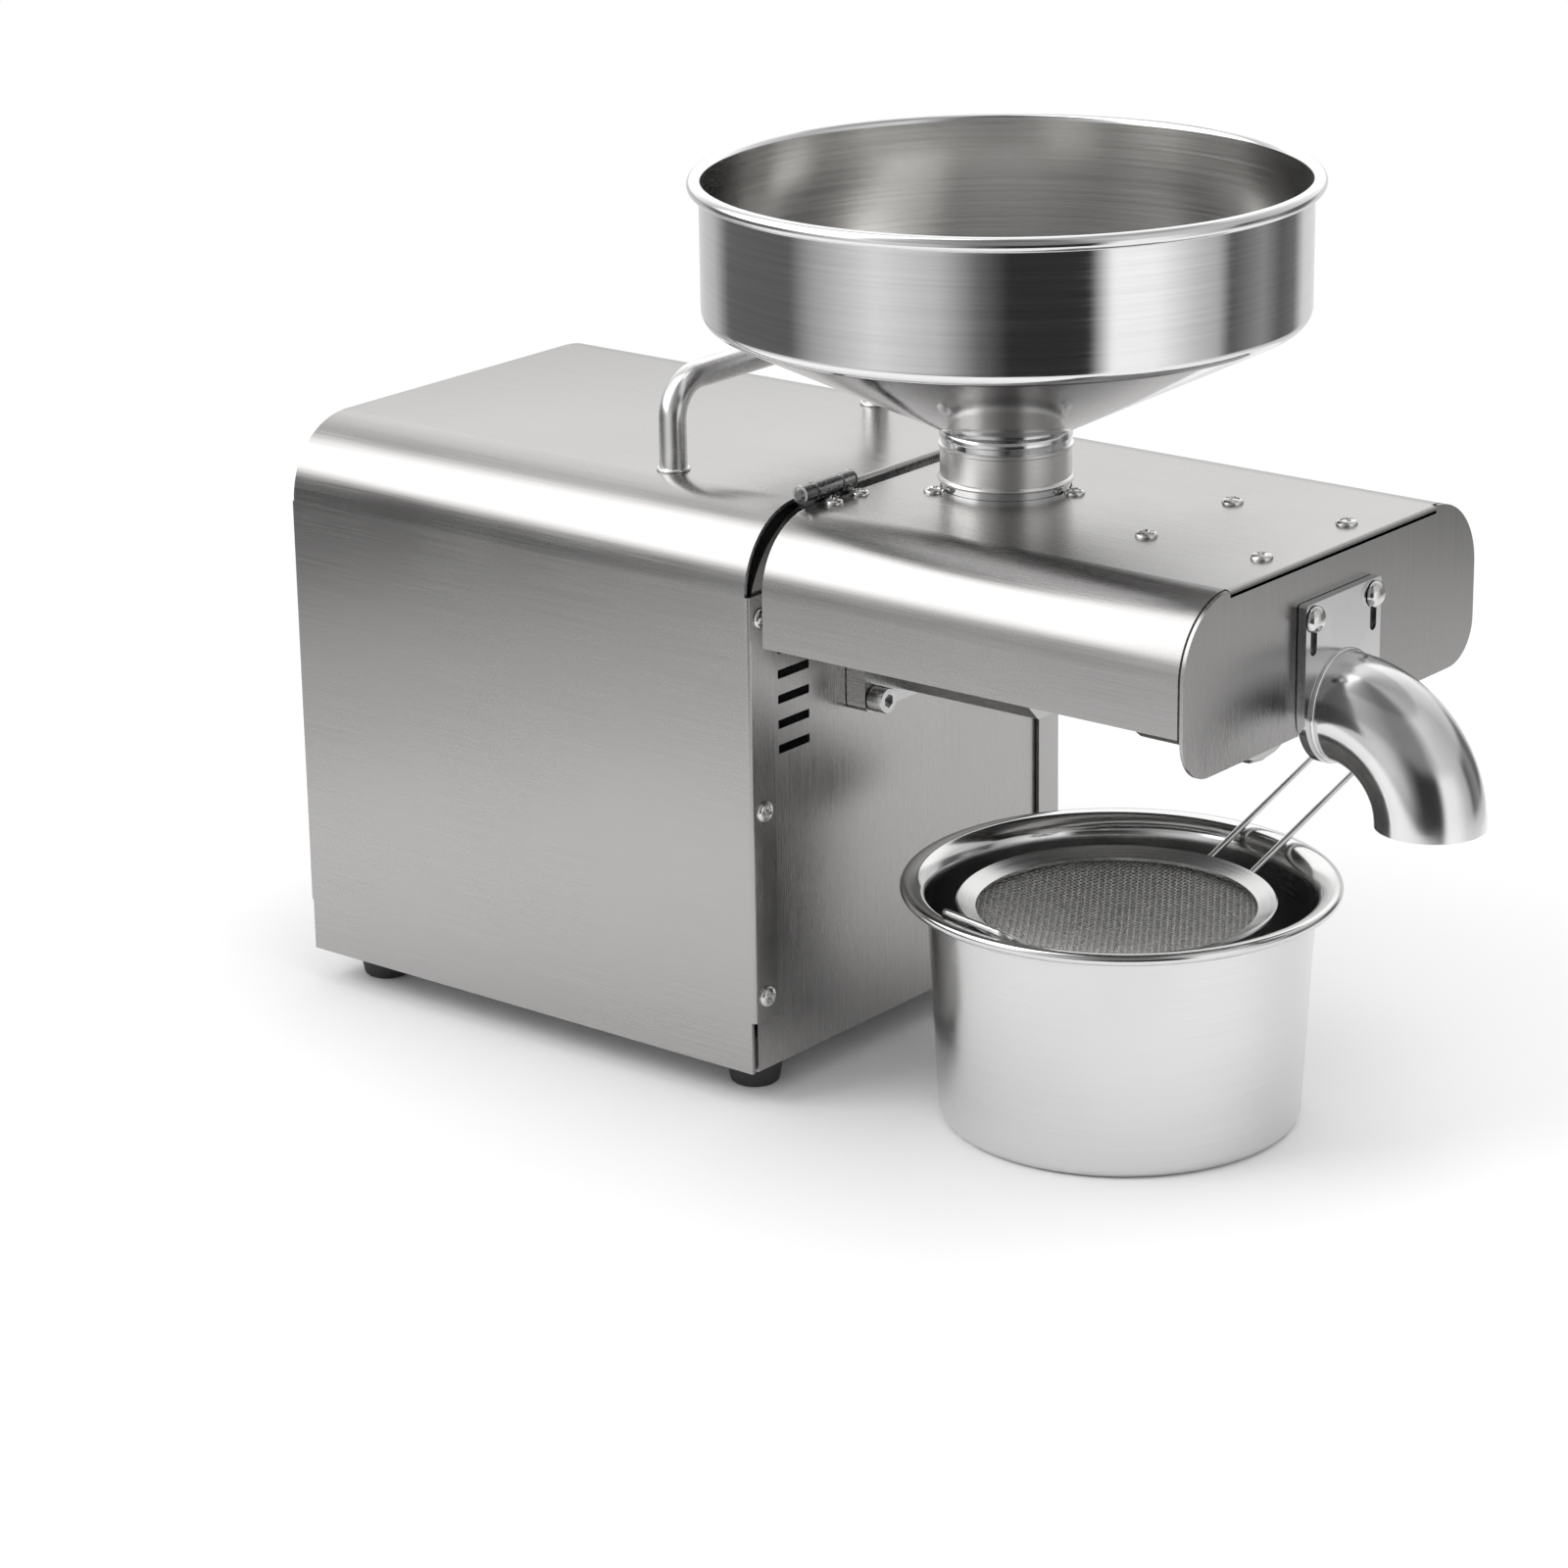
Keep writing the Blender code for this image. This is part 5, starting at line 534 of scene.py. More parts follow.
def strip(editable, outer, inner, place, low, high):
    """Bent sheet: matching outer and inner lines, drawn out from low to high."""
    lines = [[editable.verts.new(place(p, d)) for p in line] for line, d in (
        (outer, low), (outer, high), (inner, low), (inner, high))]
    a, b, c, d = lines
    for i in range(len(outer) - 1):
        for quad in ((a[i], a[i + 1], b[i + 1], b[i]), (d[i], d[i + 1], c[i + 1], c[i]),
                     (c[i], c[i + 1], a[i + 1], a[i]), (b[i], b[i + 1], d[i + 1], d[i])):
            editable.faces.new(quad)
    for i in (0, -1):
        editable.faces.new((a[i], b[i], d[i], c[i]))


def arch_lines(half, bottom, top, bend, steps=20):
    lines = []
    for inset in (0, sheet):
        h, t, r = half - inset, top - inset, bend - inset
        left = curve_points((-h + r, t - r), r, 180, 90, steps)
        right = curve_points((h - r, t - r), r, 90, 0, steps)
        lines.append([(-h, bottom)] + left + right + [(h, bottom)])
    return lines


def turned_edge(edge, reach):
    """Outer and inner lines of a sheet's turned edge, from where its flat ends to the tab's end."""
    lines = []
    for inset in (0, sheet):
        bend = curve_points((edge - fold, fold), fold - inset, 0, -90, 6)
        lines.append([(edge - inset, fold)] + bend + [(edge - reach, inset)])
    return lines


def build_cover_sheet(editable):
    outer, inner = arch_lines(body_half, underside, body_top, body_bend)
    strip(editable, outer, inner, upright_sheet, front_y + fold, rear_y - fold)
    shoulder = body_top - body_bend
    for y, inward in ((front_y, 1), (rear_y, -1)):
        out, within = turned_edge(body_half, side_tab)
        for side in (-1, 1):
            strip(editable, out, within, lambda p, d: (side * p[0], y + inward * p[1], d), underside + 0.018, shoulder)
        out, within = turned_edge(0, top_tab)
        strip(editable, out, within, lambda p, d: (d, y + inward * p[1], body_top + p[0]),
              -body_half + body_bend, body_half - body_bend)
    bmesh.ops.recalc_face_normals(editable, faces=editable.faces)


cover_steel = grained_steel(
    "cover_steel", (0.385, 0.378, 0.373), (0.43, 0.423, 0.418), 0.235, bump=0.05, Fineness=2000.0, Length=18.0,
)
cover_sheet = smooth(mesh_object("cover_sheet", build_cover_sheet))
fit(cover_sheet, "body", cover_steel, "body_cover")


# Cover and panel screws.
# Cross-recessed pan head screws, bright plated, hold the tabs of the cover to the panels,
# and two dome heads on the rear panel hold the motor's bracket.

def marked_finish(name, size, dark, light, low, high, metallic=1.0):
    """Smooth finish whose tone and gloss wander a little where it was handled."""
    made, tree, shader = material(name)
    mask = use(tree, handling_marks, Size=size).outputs["Mask"]
    feed(tree, shader.inputs["Base Color"], tone_mix(tree, mask, dark, light))
    feed(tree, shader.inputs["Roughness"], span(tree, mask, low, high))
    shader.inputs["Metallic"].default_value = metallic
    return made, tree, shader


screw_steel = marked_finish("screw_steel", 160.0, (0.62, 0.61, 0.60), (0.78, 0.775, 0.77), 0.14, 0.26)[0]


def screw_head_mesh(name, radius, height):
    """Pan head with a cross recess: the dome is a fan of rings, and the cross is pressed into it."""
    def build(editable):
        steps, levels = 48, 9
        rings = [[editable.verts.new((0, 0, 0))]]
        for level in range(1, levels + 1):
            reach = radius * level / levels
            rings.append([editable.verts.new((x, y, 0)) for x, y in circle(0, 0, reach, steps)])
        for s in range(steps):
            after = (s + 1) % steps
            editable.faces.new((rings[0][0], rings[1][s], rings[1][after]))
            for low, high in zip(rings[1:], rings[2:]):
                editable.faces.new((low[s], high[s], high[after], low[after]))
        slot, reach = radius * 0.17, radius * 0.62
        for vert in editable.verts:
            x, y = abs(vert.co.x), abs(vert.co.y)
            share = math.hypot(x, y) / radius
            lift = height * 0.2
            if share < 0.999:
                lift = height * (0.35 + 0.65 * math.sqrt(max(0, 1 - share ** 2.4)))
            if (x < slot and y < reach) or (y < slot and x < reach):
                lift -= height * 0.55 * (1 - share * 0.8)
            vert.co.z = lift
        skirt = [editable.verts.new((v.co.x, v.co.y, 0)) for v in rings[-1]]
        skin(editable, rings[-1], skirt)
        editable.faces.new(skirt[::-1])
        bmesh.ops.recalc_face_normals(editable, faces=editable.faces)
    made = smooth(mesh_object(name, build), 38)
    made.data.materials.append(screw_steel)
    return made


heads = {}


def screw(name, body, place, outward, radius=0.0036, height=0.0017, turn=20):
    key = (radius, height)
    if key in heads:
        made = place_object(name, heads[key])
    else:
        made = screw_head_mesh(name, radius, height)
        heads[key] = made.data
    aim = Vector(outward).to_track_quat("Z", "Y").to_matrix().to_4x4()
    made.matrix_world = Matrix.Translation(place) @ aim @ Matrix.Rotation(math.radians(turn), 4, "Z")
    fit(made, body)


side_screw_x, side_screw_heights, turn_step = 0.0787, (0.026, 0.090, 0.155), 37
top_screw_x, top_screw_z, dome_screw_x = 0.043, underside + 0.1852, 0.0617
inlet_flange, inlet_screw_heights = 0.0033, (0.0125, 0.0525)
turn = 0
for end, y, way in (("front", front_y, -1), ("rear", rear_y, 1)):
    for side, x in (("left", -side_screw_x), ("right", side_screw_x)):
        for row, height in enumerate(side_screw_heights):
            turn += turn_step
            screw(f"{end}_{side}_tab_screw_{row}", "body", (x, y, underside + height), (0, way, 0), turn=turn)
    for side, x in (("left", -top_screw_x), ("right", top_screw_x)):
        turn += turn_step
        screw(f"{end}_top_tab_screw_{side}", "body", (x, y, top_screw_z), (0, way, 0), turn=turn)
for side, x in (("left", -dome_screw_x), ("right", dome_screw_x)):
    screw(f"rear_dome_screw_{side}", "body", (x, rear_y - fold, fan_z), (0, 1, 0), 0.0042, 0.0024, turn=40)
for row, z in enumerate(inlet_screw_heights):
    spot = (inlet_x, rear_y - fold + inlet_flange, underside + z)
    screw(f"inlet_screw_{row}", "body", spot, (0, 1, 0), 0.0030, 0.0014, turn=15)


# Carry handle.
# A satin stainless tube bent to a wide U and welded to the top of the cover.
# A thin weld bead shows round each foot of the tube.

satin_tube = marked_finish("satin_tube", 60.0, (0.70, 0.695, 0.69), (0.80, 0.795, 0.79), 0.24, 0.32)[0]


def wire(name, points, radius, paint, resolution=6, cyclic=False):
    """Round bar or tube along a line of points."""
    line = bpy.data.curves.new(name, "CURVE")
    line.dimensions = "3D"
    line.bevel_depth = radius
    line.bevel_resolution = resolution
    line.use_fill_caps = True
    spline = line.splines.new("POLY")
    spline.points.add(len(points) - 1)
    for point, spot in zip(spline.points, points):
        point.co = (*spot, 1)
    spline.use_cyclic_u = cyclic
    spline.use_smooth = True
    line.materials.append(paint)
    return place_object(name, line)


handle_tube, handle_bend, handle_foot = 0.0046, 0.013, body_top + 0.0004
handle_weld, weld_bead = 0.0050, 0.0006
handle_y, handle_span, handle_bar = front_y + 0.056, 0.054, body_top + 0.034 - handle_tube
handle_line = [(-handle_span, handle_foot)]
handle_line += curve_points((-handle_span + handle_bend, handle_bar - handle_bend), handle_bend, 180, 90, 16)
handle_line += curve_points((handle_span - handle_bend, handle_bar - handle_bend), handle_bend, 90, 0, 16)
handle_line.append((handle_span, handle_foot))
handle = wire("handle_tube", [(x, handle_y, z) for x, z in handle_line], handle_tube, satin_tube, 8)
fit(handle, "body", node="carry_handle")
for side, x in (("left", -handle_span), ("right", handle_span)):
    bead = [(*spot, handle_foot) for spot in circle(x, handle_y, handle_weld, 48)]
    fit(wire(f"handle_weld_{side}", bead, weld_bead, satin_tube, 3, cyclic=True), "body")


# Mains inlet and rocker switches.
# The inlet is black moulded nylon with three plated blades; both switches snap into the panel.
# The power rocker is clear red, the direction rocker black, with white generic marks.

black_nylon = moulded("black_nylon", (0.018, 0.018, 0.019), (0.035, 0.035, 0.036), 0.36, bump=0.12)
finish_nodes(black_nylon, "inlet_socket", "power_switch", "direction_switch", "direction_rocker")
blade_metal = grained_steel(
    "blade_metal", (0.60, 0.58, 0.54), (0.74, 0.72, 0.68), 0.24, bump=0.05, Fineness=3000.0, Length=200.0,
)
finish_nodes(blade_metal, "inlet_line_blade", "inlet_earth_blade", "inlet_neutral_blade")

red_rocker, tree, shader = marked_finish(
    "red_rocker", 120.0, (0.50, 0.010, 0.012), (0.66, 0.022, 0.020), 0.10, 0.18, metallic=0.0,
)
shader.inputs["Coat Weight"].default_value = 0.6
shader.inputs["Subsurface Weight"].default_value = 0.15
shader.inputs["Subsurface Scale"].default_value = 0.002
# The faint red emission is a painted glow, standing in for light shining through the clear red plastic.
shader.inputs["Emission Color"].default_value = (0.6, 0.01, 0.01, 1)
shader.inputs["Emission Strength"].default_value = 0.12
finish_nodes(red_rocker, "power_rocker")

print_white, tree, shader = material("print_white")
worn = use(tree, handling_marks, Size=400.0)
ink = tone_mix(tree, worn.outputs["Mask"], (0.70, 0.70, 0.69), (0.88, 0.88, 0.87))
feed(tree, shader.inputs["Base Color"], ink)
shader.inputs["Roughness"].default_value = 0.45

# The rocker's face falls from its two ends to its middle; it tips about a pin behind the bezel.
rocker_half, rocker_end, rocker_middle, rocker_pin = 0.0079, 0.0058, 0.0041, 0.0022
bezel_depth, ink_lift, ink_depth = 0.0020, 0.00003, 0.00004


def rocker_mark(name, body, x, tilt, shape, local):
    """Printed mark on one half of a rocker: a ring, dash or bars, following the rocker's slope."""
    pivot = Vector((x, rear_y - fold + gap + bezel_depth - rocker_pin, switch_z))
    slope = math.atan2(rocker_end - rocker_middle, rocker_half)
    depth = rocker_middle + (rocker_end - rocker_middle) * abs(local) / rocker_half + ink_lift
    lean = slope if local > 0 else -slope

    def build(editable):
        if shape == "ring":
            loops = []
            for radius, y in ((0.0017, 0), (0.0017, ink_depth), (0.0012, ink_depth), (0.0012, 0)):
                loops.append([editable.verts.new((x, y, 1.15 * z)) for x, z in circle(0, 0, radius, 40)])
            for low, high in zip(loops, loops[1:] + loops[:1]):
                skin(editable, low, high)
        else:
            wide, tall = (0.0014, 0.00022) if shape == "dash" else (0.00025, 0.0013)
            for offset in (-0.0006, 0.0006) if shape == "bars" else (0,):
                corners = ((offset - wide, -tall), (offset + wide, -tall), (offset + wide, tall), (offset - wide, tall))
                low, high = [[editable.verts.new((x, y, z)) for x, z in corners] for y in (0, ink_depth)]
                skin(editable, low, high)
                editable.faces.new(low)
                editable.faces.new(high)
        bmesh.ops.recalc_face_normals(editable, faces=editable.faces)
    made = mesh_object(name, build)
    made.data.materials.append(print_white)
    made.matrix_world = (
        Matrix.Translation(pivot) @ Matrix.Rotation(tilt, 4, "X")
        @ Matrix.Translation((0, depth, local)) @ Matrix.Rotation(-lean, 4, "X")
    )
    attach(made, body)


power_tilt = math.radians(-12)
for shape, local in (("ring", 0.0042), ("bar", -0.0042)):
    rocker_mark(f"power_mark_{shape}", "power_button", -switch_x, power_tilt, shape, local)
for shape, local in (("dash", 0.0056), ("ring", 0.0006), ("bars", -0.0052)):
    rocker_mark(f"direction_mark_{shape}", "direction_button", switch_x, 0, shape, local)


# Motor, fan, saddle and board.
# The motor's can is painted black and lies in a folded saddle; its fan is moulded nylon.
# The board is green laminate on four posts.

motor_paint = moulded("motor_paint", (0.045, 0.045, 0.050), (0.075, 0.075, 0.082), 0.42, 900.0, 0.3)
saddle_steel = grained_steel("saddle_steel", (0.42, 0.42, 0.41), (0.52, 0.52, 0.51), 0.40, Fineness=900.0, Length=60.0)
board_laminate = moulded("board_laminate", (0.012, 0.11, 0.045), (0.03, 0.19, 0.08), 0.38, 500.0, 0.2)
finish_nodes(motor_paint, "motor_case")
finish_nodes(black_nylon, "cooling_fan")
finish_nodes(saddle_steel, "motor_saddle")
finish_nodes(board_laminate, "control_board")


# Gearbox.
# Die-cast aluminium case and cover round cut steel spur gears on ground shafts.

cast_alloy = moulded("cast_alloy", (0.50, 0.50, 0.51), (0.62, 0.62, 0.63), 0.50, 700.0, 0.5, metallic=0.9)
cut_steel = grained_steel("cut_steel", (0.30, 0.30, 0.31), (0.42, 0.42, 0.43), 0.30, Fineness=1400.0, Length=400.0)
finish_nodes(cast_alloy, "gearbox_case", "gearbox_cover")
finish_nodes(cut_steel, "motor_pinion", "first_gear", "idler_shaft", "output_gear", "output_shaft", "motor_shaft",
             "output_bearing")


# Press barrel, cage, screw and outlet parts.
# The octagonal barrel is milled from one bar with its flange and is bolted on with four socket heads.
# The screw turns in a slotted cage, held by a ring nut; a clamped band heats it.

milled_steel = grained_steel(
    "milled_steel", (0.50, 0.495, 0.49), (0.58, 0.575, 0.57), 0.26, bump=0.08, Fineness=2400.0, Length=60.0,
)
band_steel = grained_steel("band_steel", (0.46, 0.44, 0.41), (0.60, 0.58, 0.55), 0.34, Fineness=1600.0, Length=300.0)
bolt_steel = grained_steel(
    "bolt_steel", (0.56, 0.555, 0.55), (0.70, 0.695, 0.69), 0.24, bump=0.3, Fineness=2600.0, Length=1800.0,
)
finish_nodes(milled_steel, "press_barrel", "press_cage", "cage_nut", "cake_nozzle", "press_screw")
finish_nodes(band_steel, "heater_band")

bolt_profile = [
    (0.0001, -0.0142), (0.0025, -0.0142), (0.0025, 0), (0.0041, 0), (0.0043, 0.0002), (0.0043, 0.0056),
    (0.0041, 0.0060), (0.0027, 0.0060),
]
hexagon_half, hexagon_ends, flange_face = 0.00205, (0.0060, 0.0030), at(6.8)


def build_bolt(editable):
    """Socket head: a turned head with a six-sided hole sunk into its end."""
    steps, flat = 48, math.pi / 3
    rings = []
    for radius, height in bolt_profile:
        rings.append([editable.verts.new((x, -height, z)) for x, z in circle(0, 0, radius, steps)])
    for height in hexagon_ends:
        ring = []
        for s in range(steps):
            turn = 2 * math.pi * s / steps
            radius = hexagon_half / math.cos((turn + flat / 2) % flat - flat / 2)
            ring.append(editable.verts.new((radius * math.cos(turn), -height, radius * math.sin(turn))))
        rings.append(ring)
    for low, high in zip(rings, rings[1:]):
        skin(editable, low, high)
    editable.faces.new(rings[0])
    editable.faces.new(rings[-1][::-1])
    bmesh.ops.recalc_face_normals(editable, faces=editable.faces)


bolt_mesh = None
for name, (x, z) in bolt_spots.items():
    if bolt_mesh is None:
        bolt = smooth(mesh_object(f"barrel_bolt_{name}", build_bolt), 30)
        bolt_mesh = bolt.data
        bolt_mesh.materials.append(bolt_steel)
    else:
        bolt = place_object(f"barrel_bolt_{name}", bolt_mesh)
    bolt.location = (x, flange_face, press_z + z)
    fit(bolt, "body", node=f"flange_bolt_{name}")


# Head cover.
# Brushed sheet folded over the press head; the top turns down in front as the end plate.
# It lifts on two hinges, and screws through its top hold the collar and the heat shield.

head_half, head_top, head_bend, wall_low = 0.083, underside + 0.188, 0.0245, underside + 0.1468
plate_low, plate_corner, plate_notch = underside + 0.1318, 0.0140, 0.0195
head_start, head_end, neck_y, neck_hole = at(4.1), at(165.0), at(39.0), 0.0213
outlet_screw_x, outlet_screw_z, outlet_hole = 0.017, underside + 0.1695, 0.0018


def build_head_sheet(editable):
    outer, inner = arch_lines(head_half, wall_low, head_top, head_bend)
    split = len(outer) // 2
    for half in (slice(0, split), slice(split, None)):
        strip(editable, outer[half], inner[half], upright_sheet, head_start, head_end + sheet + 0.0008)
    flat_half, front = head_half - head_bend, head_end + fold
    outline = [(-flat_half, head_start), (flat_half, head_start), (flat_half, front), (-flat_half, front)]
    hole = circle(0, neck_y, neck_hole, 72)
    sheet_with_holes(editable, outline, [hole], lambda p, d: (p[0], p[1], d), head_top, head_top - sheet)
    out, within = turned_edge(0, fold + 0.001)
    strip(editable, out, within, lambda p, d: (d, head_end + p[1], head_top + p[0]), -flat_half, flat_half)
    bend_centre, corner_centre = head_half - head_bend, head_half - plate_corner
    bend_z, corner_z = head_top - head_bend, plate_low + plate_corner
    end = [(-flat_half, head_top - fold)] + curve_points((-bend_centre, bend_z), head_bend, 93, 180, 20)
    end += curve_points((-corner_centre, corner_z), plate_corner, 180, 270, 12)
    notch = curve_points((0, press_z), plate_notch, 180, 0, 32)
    end += [(-plate_notch, plate_low)] + notch + [(plate_notch, plate_low)]
    end += curve_points((corner_centre, corner_z), plate_corner, 270, 360, 12)
    end += curve_points((bend_centre, bend_z), head_bend, 0, 87, 20) + [(flat_half, head_top - fold)]
    holes = [circle(side * outlet_screw_x, outlet_screw_z, outlet_hole, 24) for side in (-1, 1)]
    sheet_with_holes(editable, end, holes, upright_sheet, head_end, head_end + sheet)
    bmesh.ops.recalc_face_normals(editable, faces=editable.faces)


head_sheet = smooth(mesh_object("head_sheet", build_head_sheet))
fit(head_sheet, "cover", cover_steel, "head_cover")
finish_nodes(panel_steel, "hopper_collar", "heat_shield")
shield_screw_x, shield_screw_rows, collar_screw_reach = 0.024, (110.7, 153.4), 0.0248
hinge_screws, hinge_screw_y = (0.0368, 0.0505), at(7.6)
turn = 10
for x in (-shield_screw_x, shield_screw_x):
    for forward in shield_screw_rows:
        turn += 33
        screw(f"shield_screw_{turn}", "cover", (x, at(forward), head_top), (0, 0, 1), turn=turn)
for index, degrees in enumerate((213, 327, 81)):
    way = math.radians(degrees)
    spot = (collar_screw_reach * math.cos(way), neck_y - collar_screw_reach * math.sin(way), head_top)
    screw(f"collar_screw_{index}", "cover", spot, (0, 0, 1), 0.0034, 0.0016, turn=50 * index)
for side, way in (("left", -1), ("right", 1)):
    for index, x in enumerate(hinge_screws):
        spot = (way * x, hinge_screw_y, head_top)
        screw(f"hinge_screw_{side}_{index}", "cover", spot, (0, 0, 1), 0.0033, 0.0016, turn=25 + 40 * index)


# Cover hinges.
# Plated barrel hinges: one leaf under the cover, one on the front of the body, and a headed pin.
# Each knuckle is a rolled tube, and thin bright washers part them.

hinge_metal = grained_steel("hinge_metal", (0.24, 0.24, 0.24), (0.34, 0.34, 0.34), 0.22, Fineness=1800.0, Length=900.0)
hinge_y, hinge_z, knuckle, knuckle_wall, knuckle_ease = at(2.4), underside + 0.192, 0.0027, 0.0012, 0.0003
knuckles = (
    ("body", ((-0.006375, 0.006375),)),
    ("cover", ((-0.01275, -0.006675), (0.006675, 0.01275))),
)
washers = ((-0.00665, -0.00640), (0.00640, 0.00665), (-0.01302, -0.01278), (0.01278, 0.01302))
hinge_x = 0.0478
for side, x in (("left", -hinge_x), ("right", hinge_x)):
    finish_nodes(hinge_metal, *(f"{side}_hinge_{part}" for part in ("body_leaf", "cover_leaf", "pin")))
    for body, spans in knuckles:
        for index, (low, high) in enumerate(spans):
            bore, edge = knuckle - knuckle_wall, knuckle - knuckle_ease
            profile = [(bore, low), (edge, low), (knuckle, low + knuckle_ease), (knuckle, high - knuckle_ease),
                       (edge, high), (bore, high)]
            barrel = revolve(f"{side}_knuckle_{body}_{index}", profile, (x, hinge_y, hinge_z), 40, axis="x")
            fit(barrel, body, hinge_metal)
    for index, (low, high) in enumerate(washers):
        profile = [(0.0013, low), (0.0030, low), (0.0031, (low + high) / 2), (0.0030, high), (0.0013, high)]
        washer = revolve(f"{side}_hinge_washer_{index}", profile, (x, hinge_y, hinge_z), 40, axis="x")
        fit(washer, "body", screw_steel)


# Hopper.
# Spun from one polished stainless disc: rolled rim, straight wall and cone, welded to its neck tube.
# The lathe leaves fine rings all round, strongest on the inside.

turned_grain, taken, given = effect(
    "turned_grain", [("Centre", "NodeSocketVector", (0, 0, 0)), ("Fineness", number, 1500.0), ("Length", number, 6.0)],
    [("Tone", number), ("Height", number)],
)
place = add(turned_grain, "ShaderNodeTexCoord")
offset = add(
    turned_grain, "ShaderNodeVectorMath", {0: place.outputs["Object"], 1: taken.outputs["Centre"]},
    operation="SUBTRACT",
)
parts = add(turned_grain, "ShaderNodeSeparateXYZ", {0: offset.outputs[0]})
x, y = parts.outputs["X"], parts.outputs["Y"]
square = calculate(turned_grain, "ADD", calculate(turned_grain, "MULTIPLY", x, x),
                   calculate(turned_grain, "MULTIPLY", y, y))
reach = calculate(turned_grain, "ADD", calculate(turned_grain, "SQRT", square), 0.00001)
fine, long = taken.outputs["Fineness"], taken.outputs["Length"]
rings = add(turned_grain, "ShaderNodeCombineXYZ", {
    "X": calculate(turned_grain, "MULTIPLY", reach, fine),
    "Y": calculate(turned_grain, "MULTIPLY", parts.outputs["Z"], fine),
    "Z": calculate(turned_grain, "MULTIPLY", calculate(turned_grain, "DIVIDE", x, reach), long),
})
round_way = calculate(turned_grain, "MULTIPLY", calculate(turned_grain, "DIVIDE", y, reach), long)
grain_noise(turned_grain, given, {
    "Vector": rings.outputs[0], "W": round_way, "Scale": 1.0, "Detail": 3.0, "Roughness": 0.6,
}, noise_dimensions="4D")


def spun_steel(name, dark, light, roughness, centre, streak, bump, marks, fineness=1300.0):
    made = grained_steel(
        name, dark, light, roughness, turned_grain, bump=bump, marks=marks,
        Centre=centre, Fineness=fineness, Length=1.2,
    )
    tree = made.node_tree
    shader = tree.nodes["Principled BSDF"]
    shader.inputs["Anisotropic"].default_value = streak
    shader.inputs["Anisotropic Rotation"].default_value = 0.25
    tangent = add(tree, "ShaderNodeTangent", direction_type="RADIAL", axis="Z")
    tree.links.new(tangent.outputs[0], shader.inputs["Tangent"])
    return made


def paint_second(made, paint, steps, first, last):
    """Second finish for the turned rings of faces between two places in the profile."""
    made.data.materials.append(paint)
    for polygon in made.data.polygons:
        if first <= polygon.index // steps < last:
            polygon.material_index = 1


hopper_centre = (0, neck_y, 0)
hopper_polish = spun_steel(
    "hopper_polish", (0.70, 0.70, 0.705), (0.80, 0.80, 0.805), 0.10, hopper_centre, 0.0, 0.10, 0.02, 900.0,
)
hopper_inside = spun_steel(
    "hopper_inside", (0.60, 0.595, 0.585), (0.70, 0.695, 0.685), 0.15, hopper_centre, 0.7, 0.06, 0.03,
)
neck_satin = spun_steel("neck_satin", (0.78, 0.77, 0.76), (0.86, 0.85, 0.84), 0.30, hopper_centre, 0.4, 0.06, 0.04)
rim_z, bead, rim_radius, round_steps = underside + 0.2906, 0.0024, 0.1014, 128
cone_top, cone_low, neck_radius, wall = underside + 0.2453, underside + 0.2067, 0.0210, 0.0010
barrel_axis_z, barrel_half = 0.1533, 0.0265
neck_end = barrel_axis_z + barrel_half + gap
inner = rim_radius - 2 * bead
outer = inner + wall
shoulder_bend = 0.005
slope = math.atan2(cone_top - cone_low, outer - neck_radius)
turn = math.degrees(math.pi / 2 - slope)
shoulder = (outer - shoulder_bend, cone_top + shoulder_bend * math.tan(math.radians(turn) / 2))
bead_centre = (inner + bead, rim_z - bead)
weld_edge = neck_radius + 0.0006
outside_line = curve_points(bead_centre, bead, 110, -75, 18)
outside_line += [(outer, rim_z - 2.15 * bead), (outer, rim_z - 0.012), (outer, rim_z - 0.03)]
outside_line += curve_points(shoulder, shoulder_bend, 0, -turn, 10)
outside_line += [(weld_edge, cone_low + 0.0011), (neck_radius + 0.0002, cone_low + 0.0003),
                 (weld_edge, cone_low - 0.0006), (weld_edge, cone_low - 0.0016),
                 (neck_radius, cone_low - 0.0021), (neck_radius, neck_end), (neck_radius - wall, neck_end)]
inside_line = [(neck_radius - wall, cone_low - 0.001), (neck_radius - 2.2 * wall, cone_low)]
inside_line += curve_points(shoulder, shoulder_bend - wall, -turn, 0, 10)
inside_line += [(inner, rim_z - 0.02), (inner, rim_z - bead)] + curve_points(bead_centre, bead, 180, 110, 8)[1:]
hopper_line = outside_line + inside_line[:-1]
hopper_shell = revolve("hopper_shell", hopper_line, hopper_centre, round_steps)
hopper_shell.data.materials.append(hopper_polish)
paint_second(hopper_shell, hopper_inside, round_steps, len(outside_line) - 1, len(hopper_line) - 7)
fit(hopper_shell, "hopper_body", node="hopper")

sleeve_profile = [(radius, underside + height) for radius, height in (
    (0.0210, 0.1902), (0.0219, 0.1904), (0.0222, 0.1911), (0.0219, 0.1918), (0.0214, 0.1922),
    (0.0214, 0.2012), (0.0219, 0.2016), (0.0219, 0.2026), (0.0210, 0.2030),
)]
neck_sleeve = revolve("neck_sleeve", sleeve_profile, hopper_centre, 96)
fit(neck_sleeve, "hopper_body", neck_satin)


# Cake outlet.
# A stainless tube bent through a right angle, polished and welded to a thick slotted plate.
# Two dome head screws clamp the plate, and the slots let it slide up and down.

elbow_polish, tree, shader = marked_finish("elbow_polish", 45.0, (0.70, 0.70, 0.705), (0.80, 0.80, 0.80), 0.16, 0.22)
orange_peel = use(tree, moulded_skin, Size=900.0)
raise_surface(tree, shader, orange_peel.outputs["Height"], 0.10)

plate_back, plate_front, plate_half, plate_ease = at(165.3), at(168.3), 0.0213, 0.0008
tube_z, tube_radius, tube_wall, tube_bend, tube_bore = underside + 0.1375, 0.0175, 0.0015, 0.033, 0.016


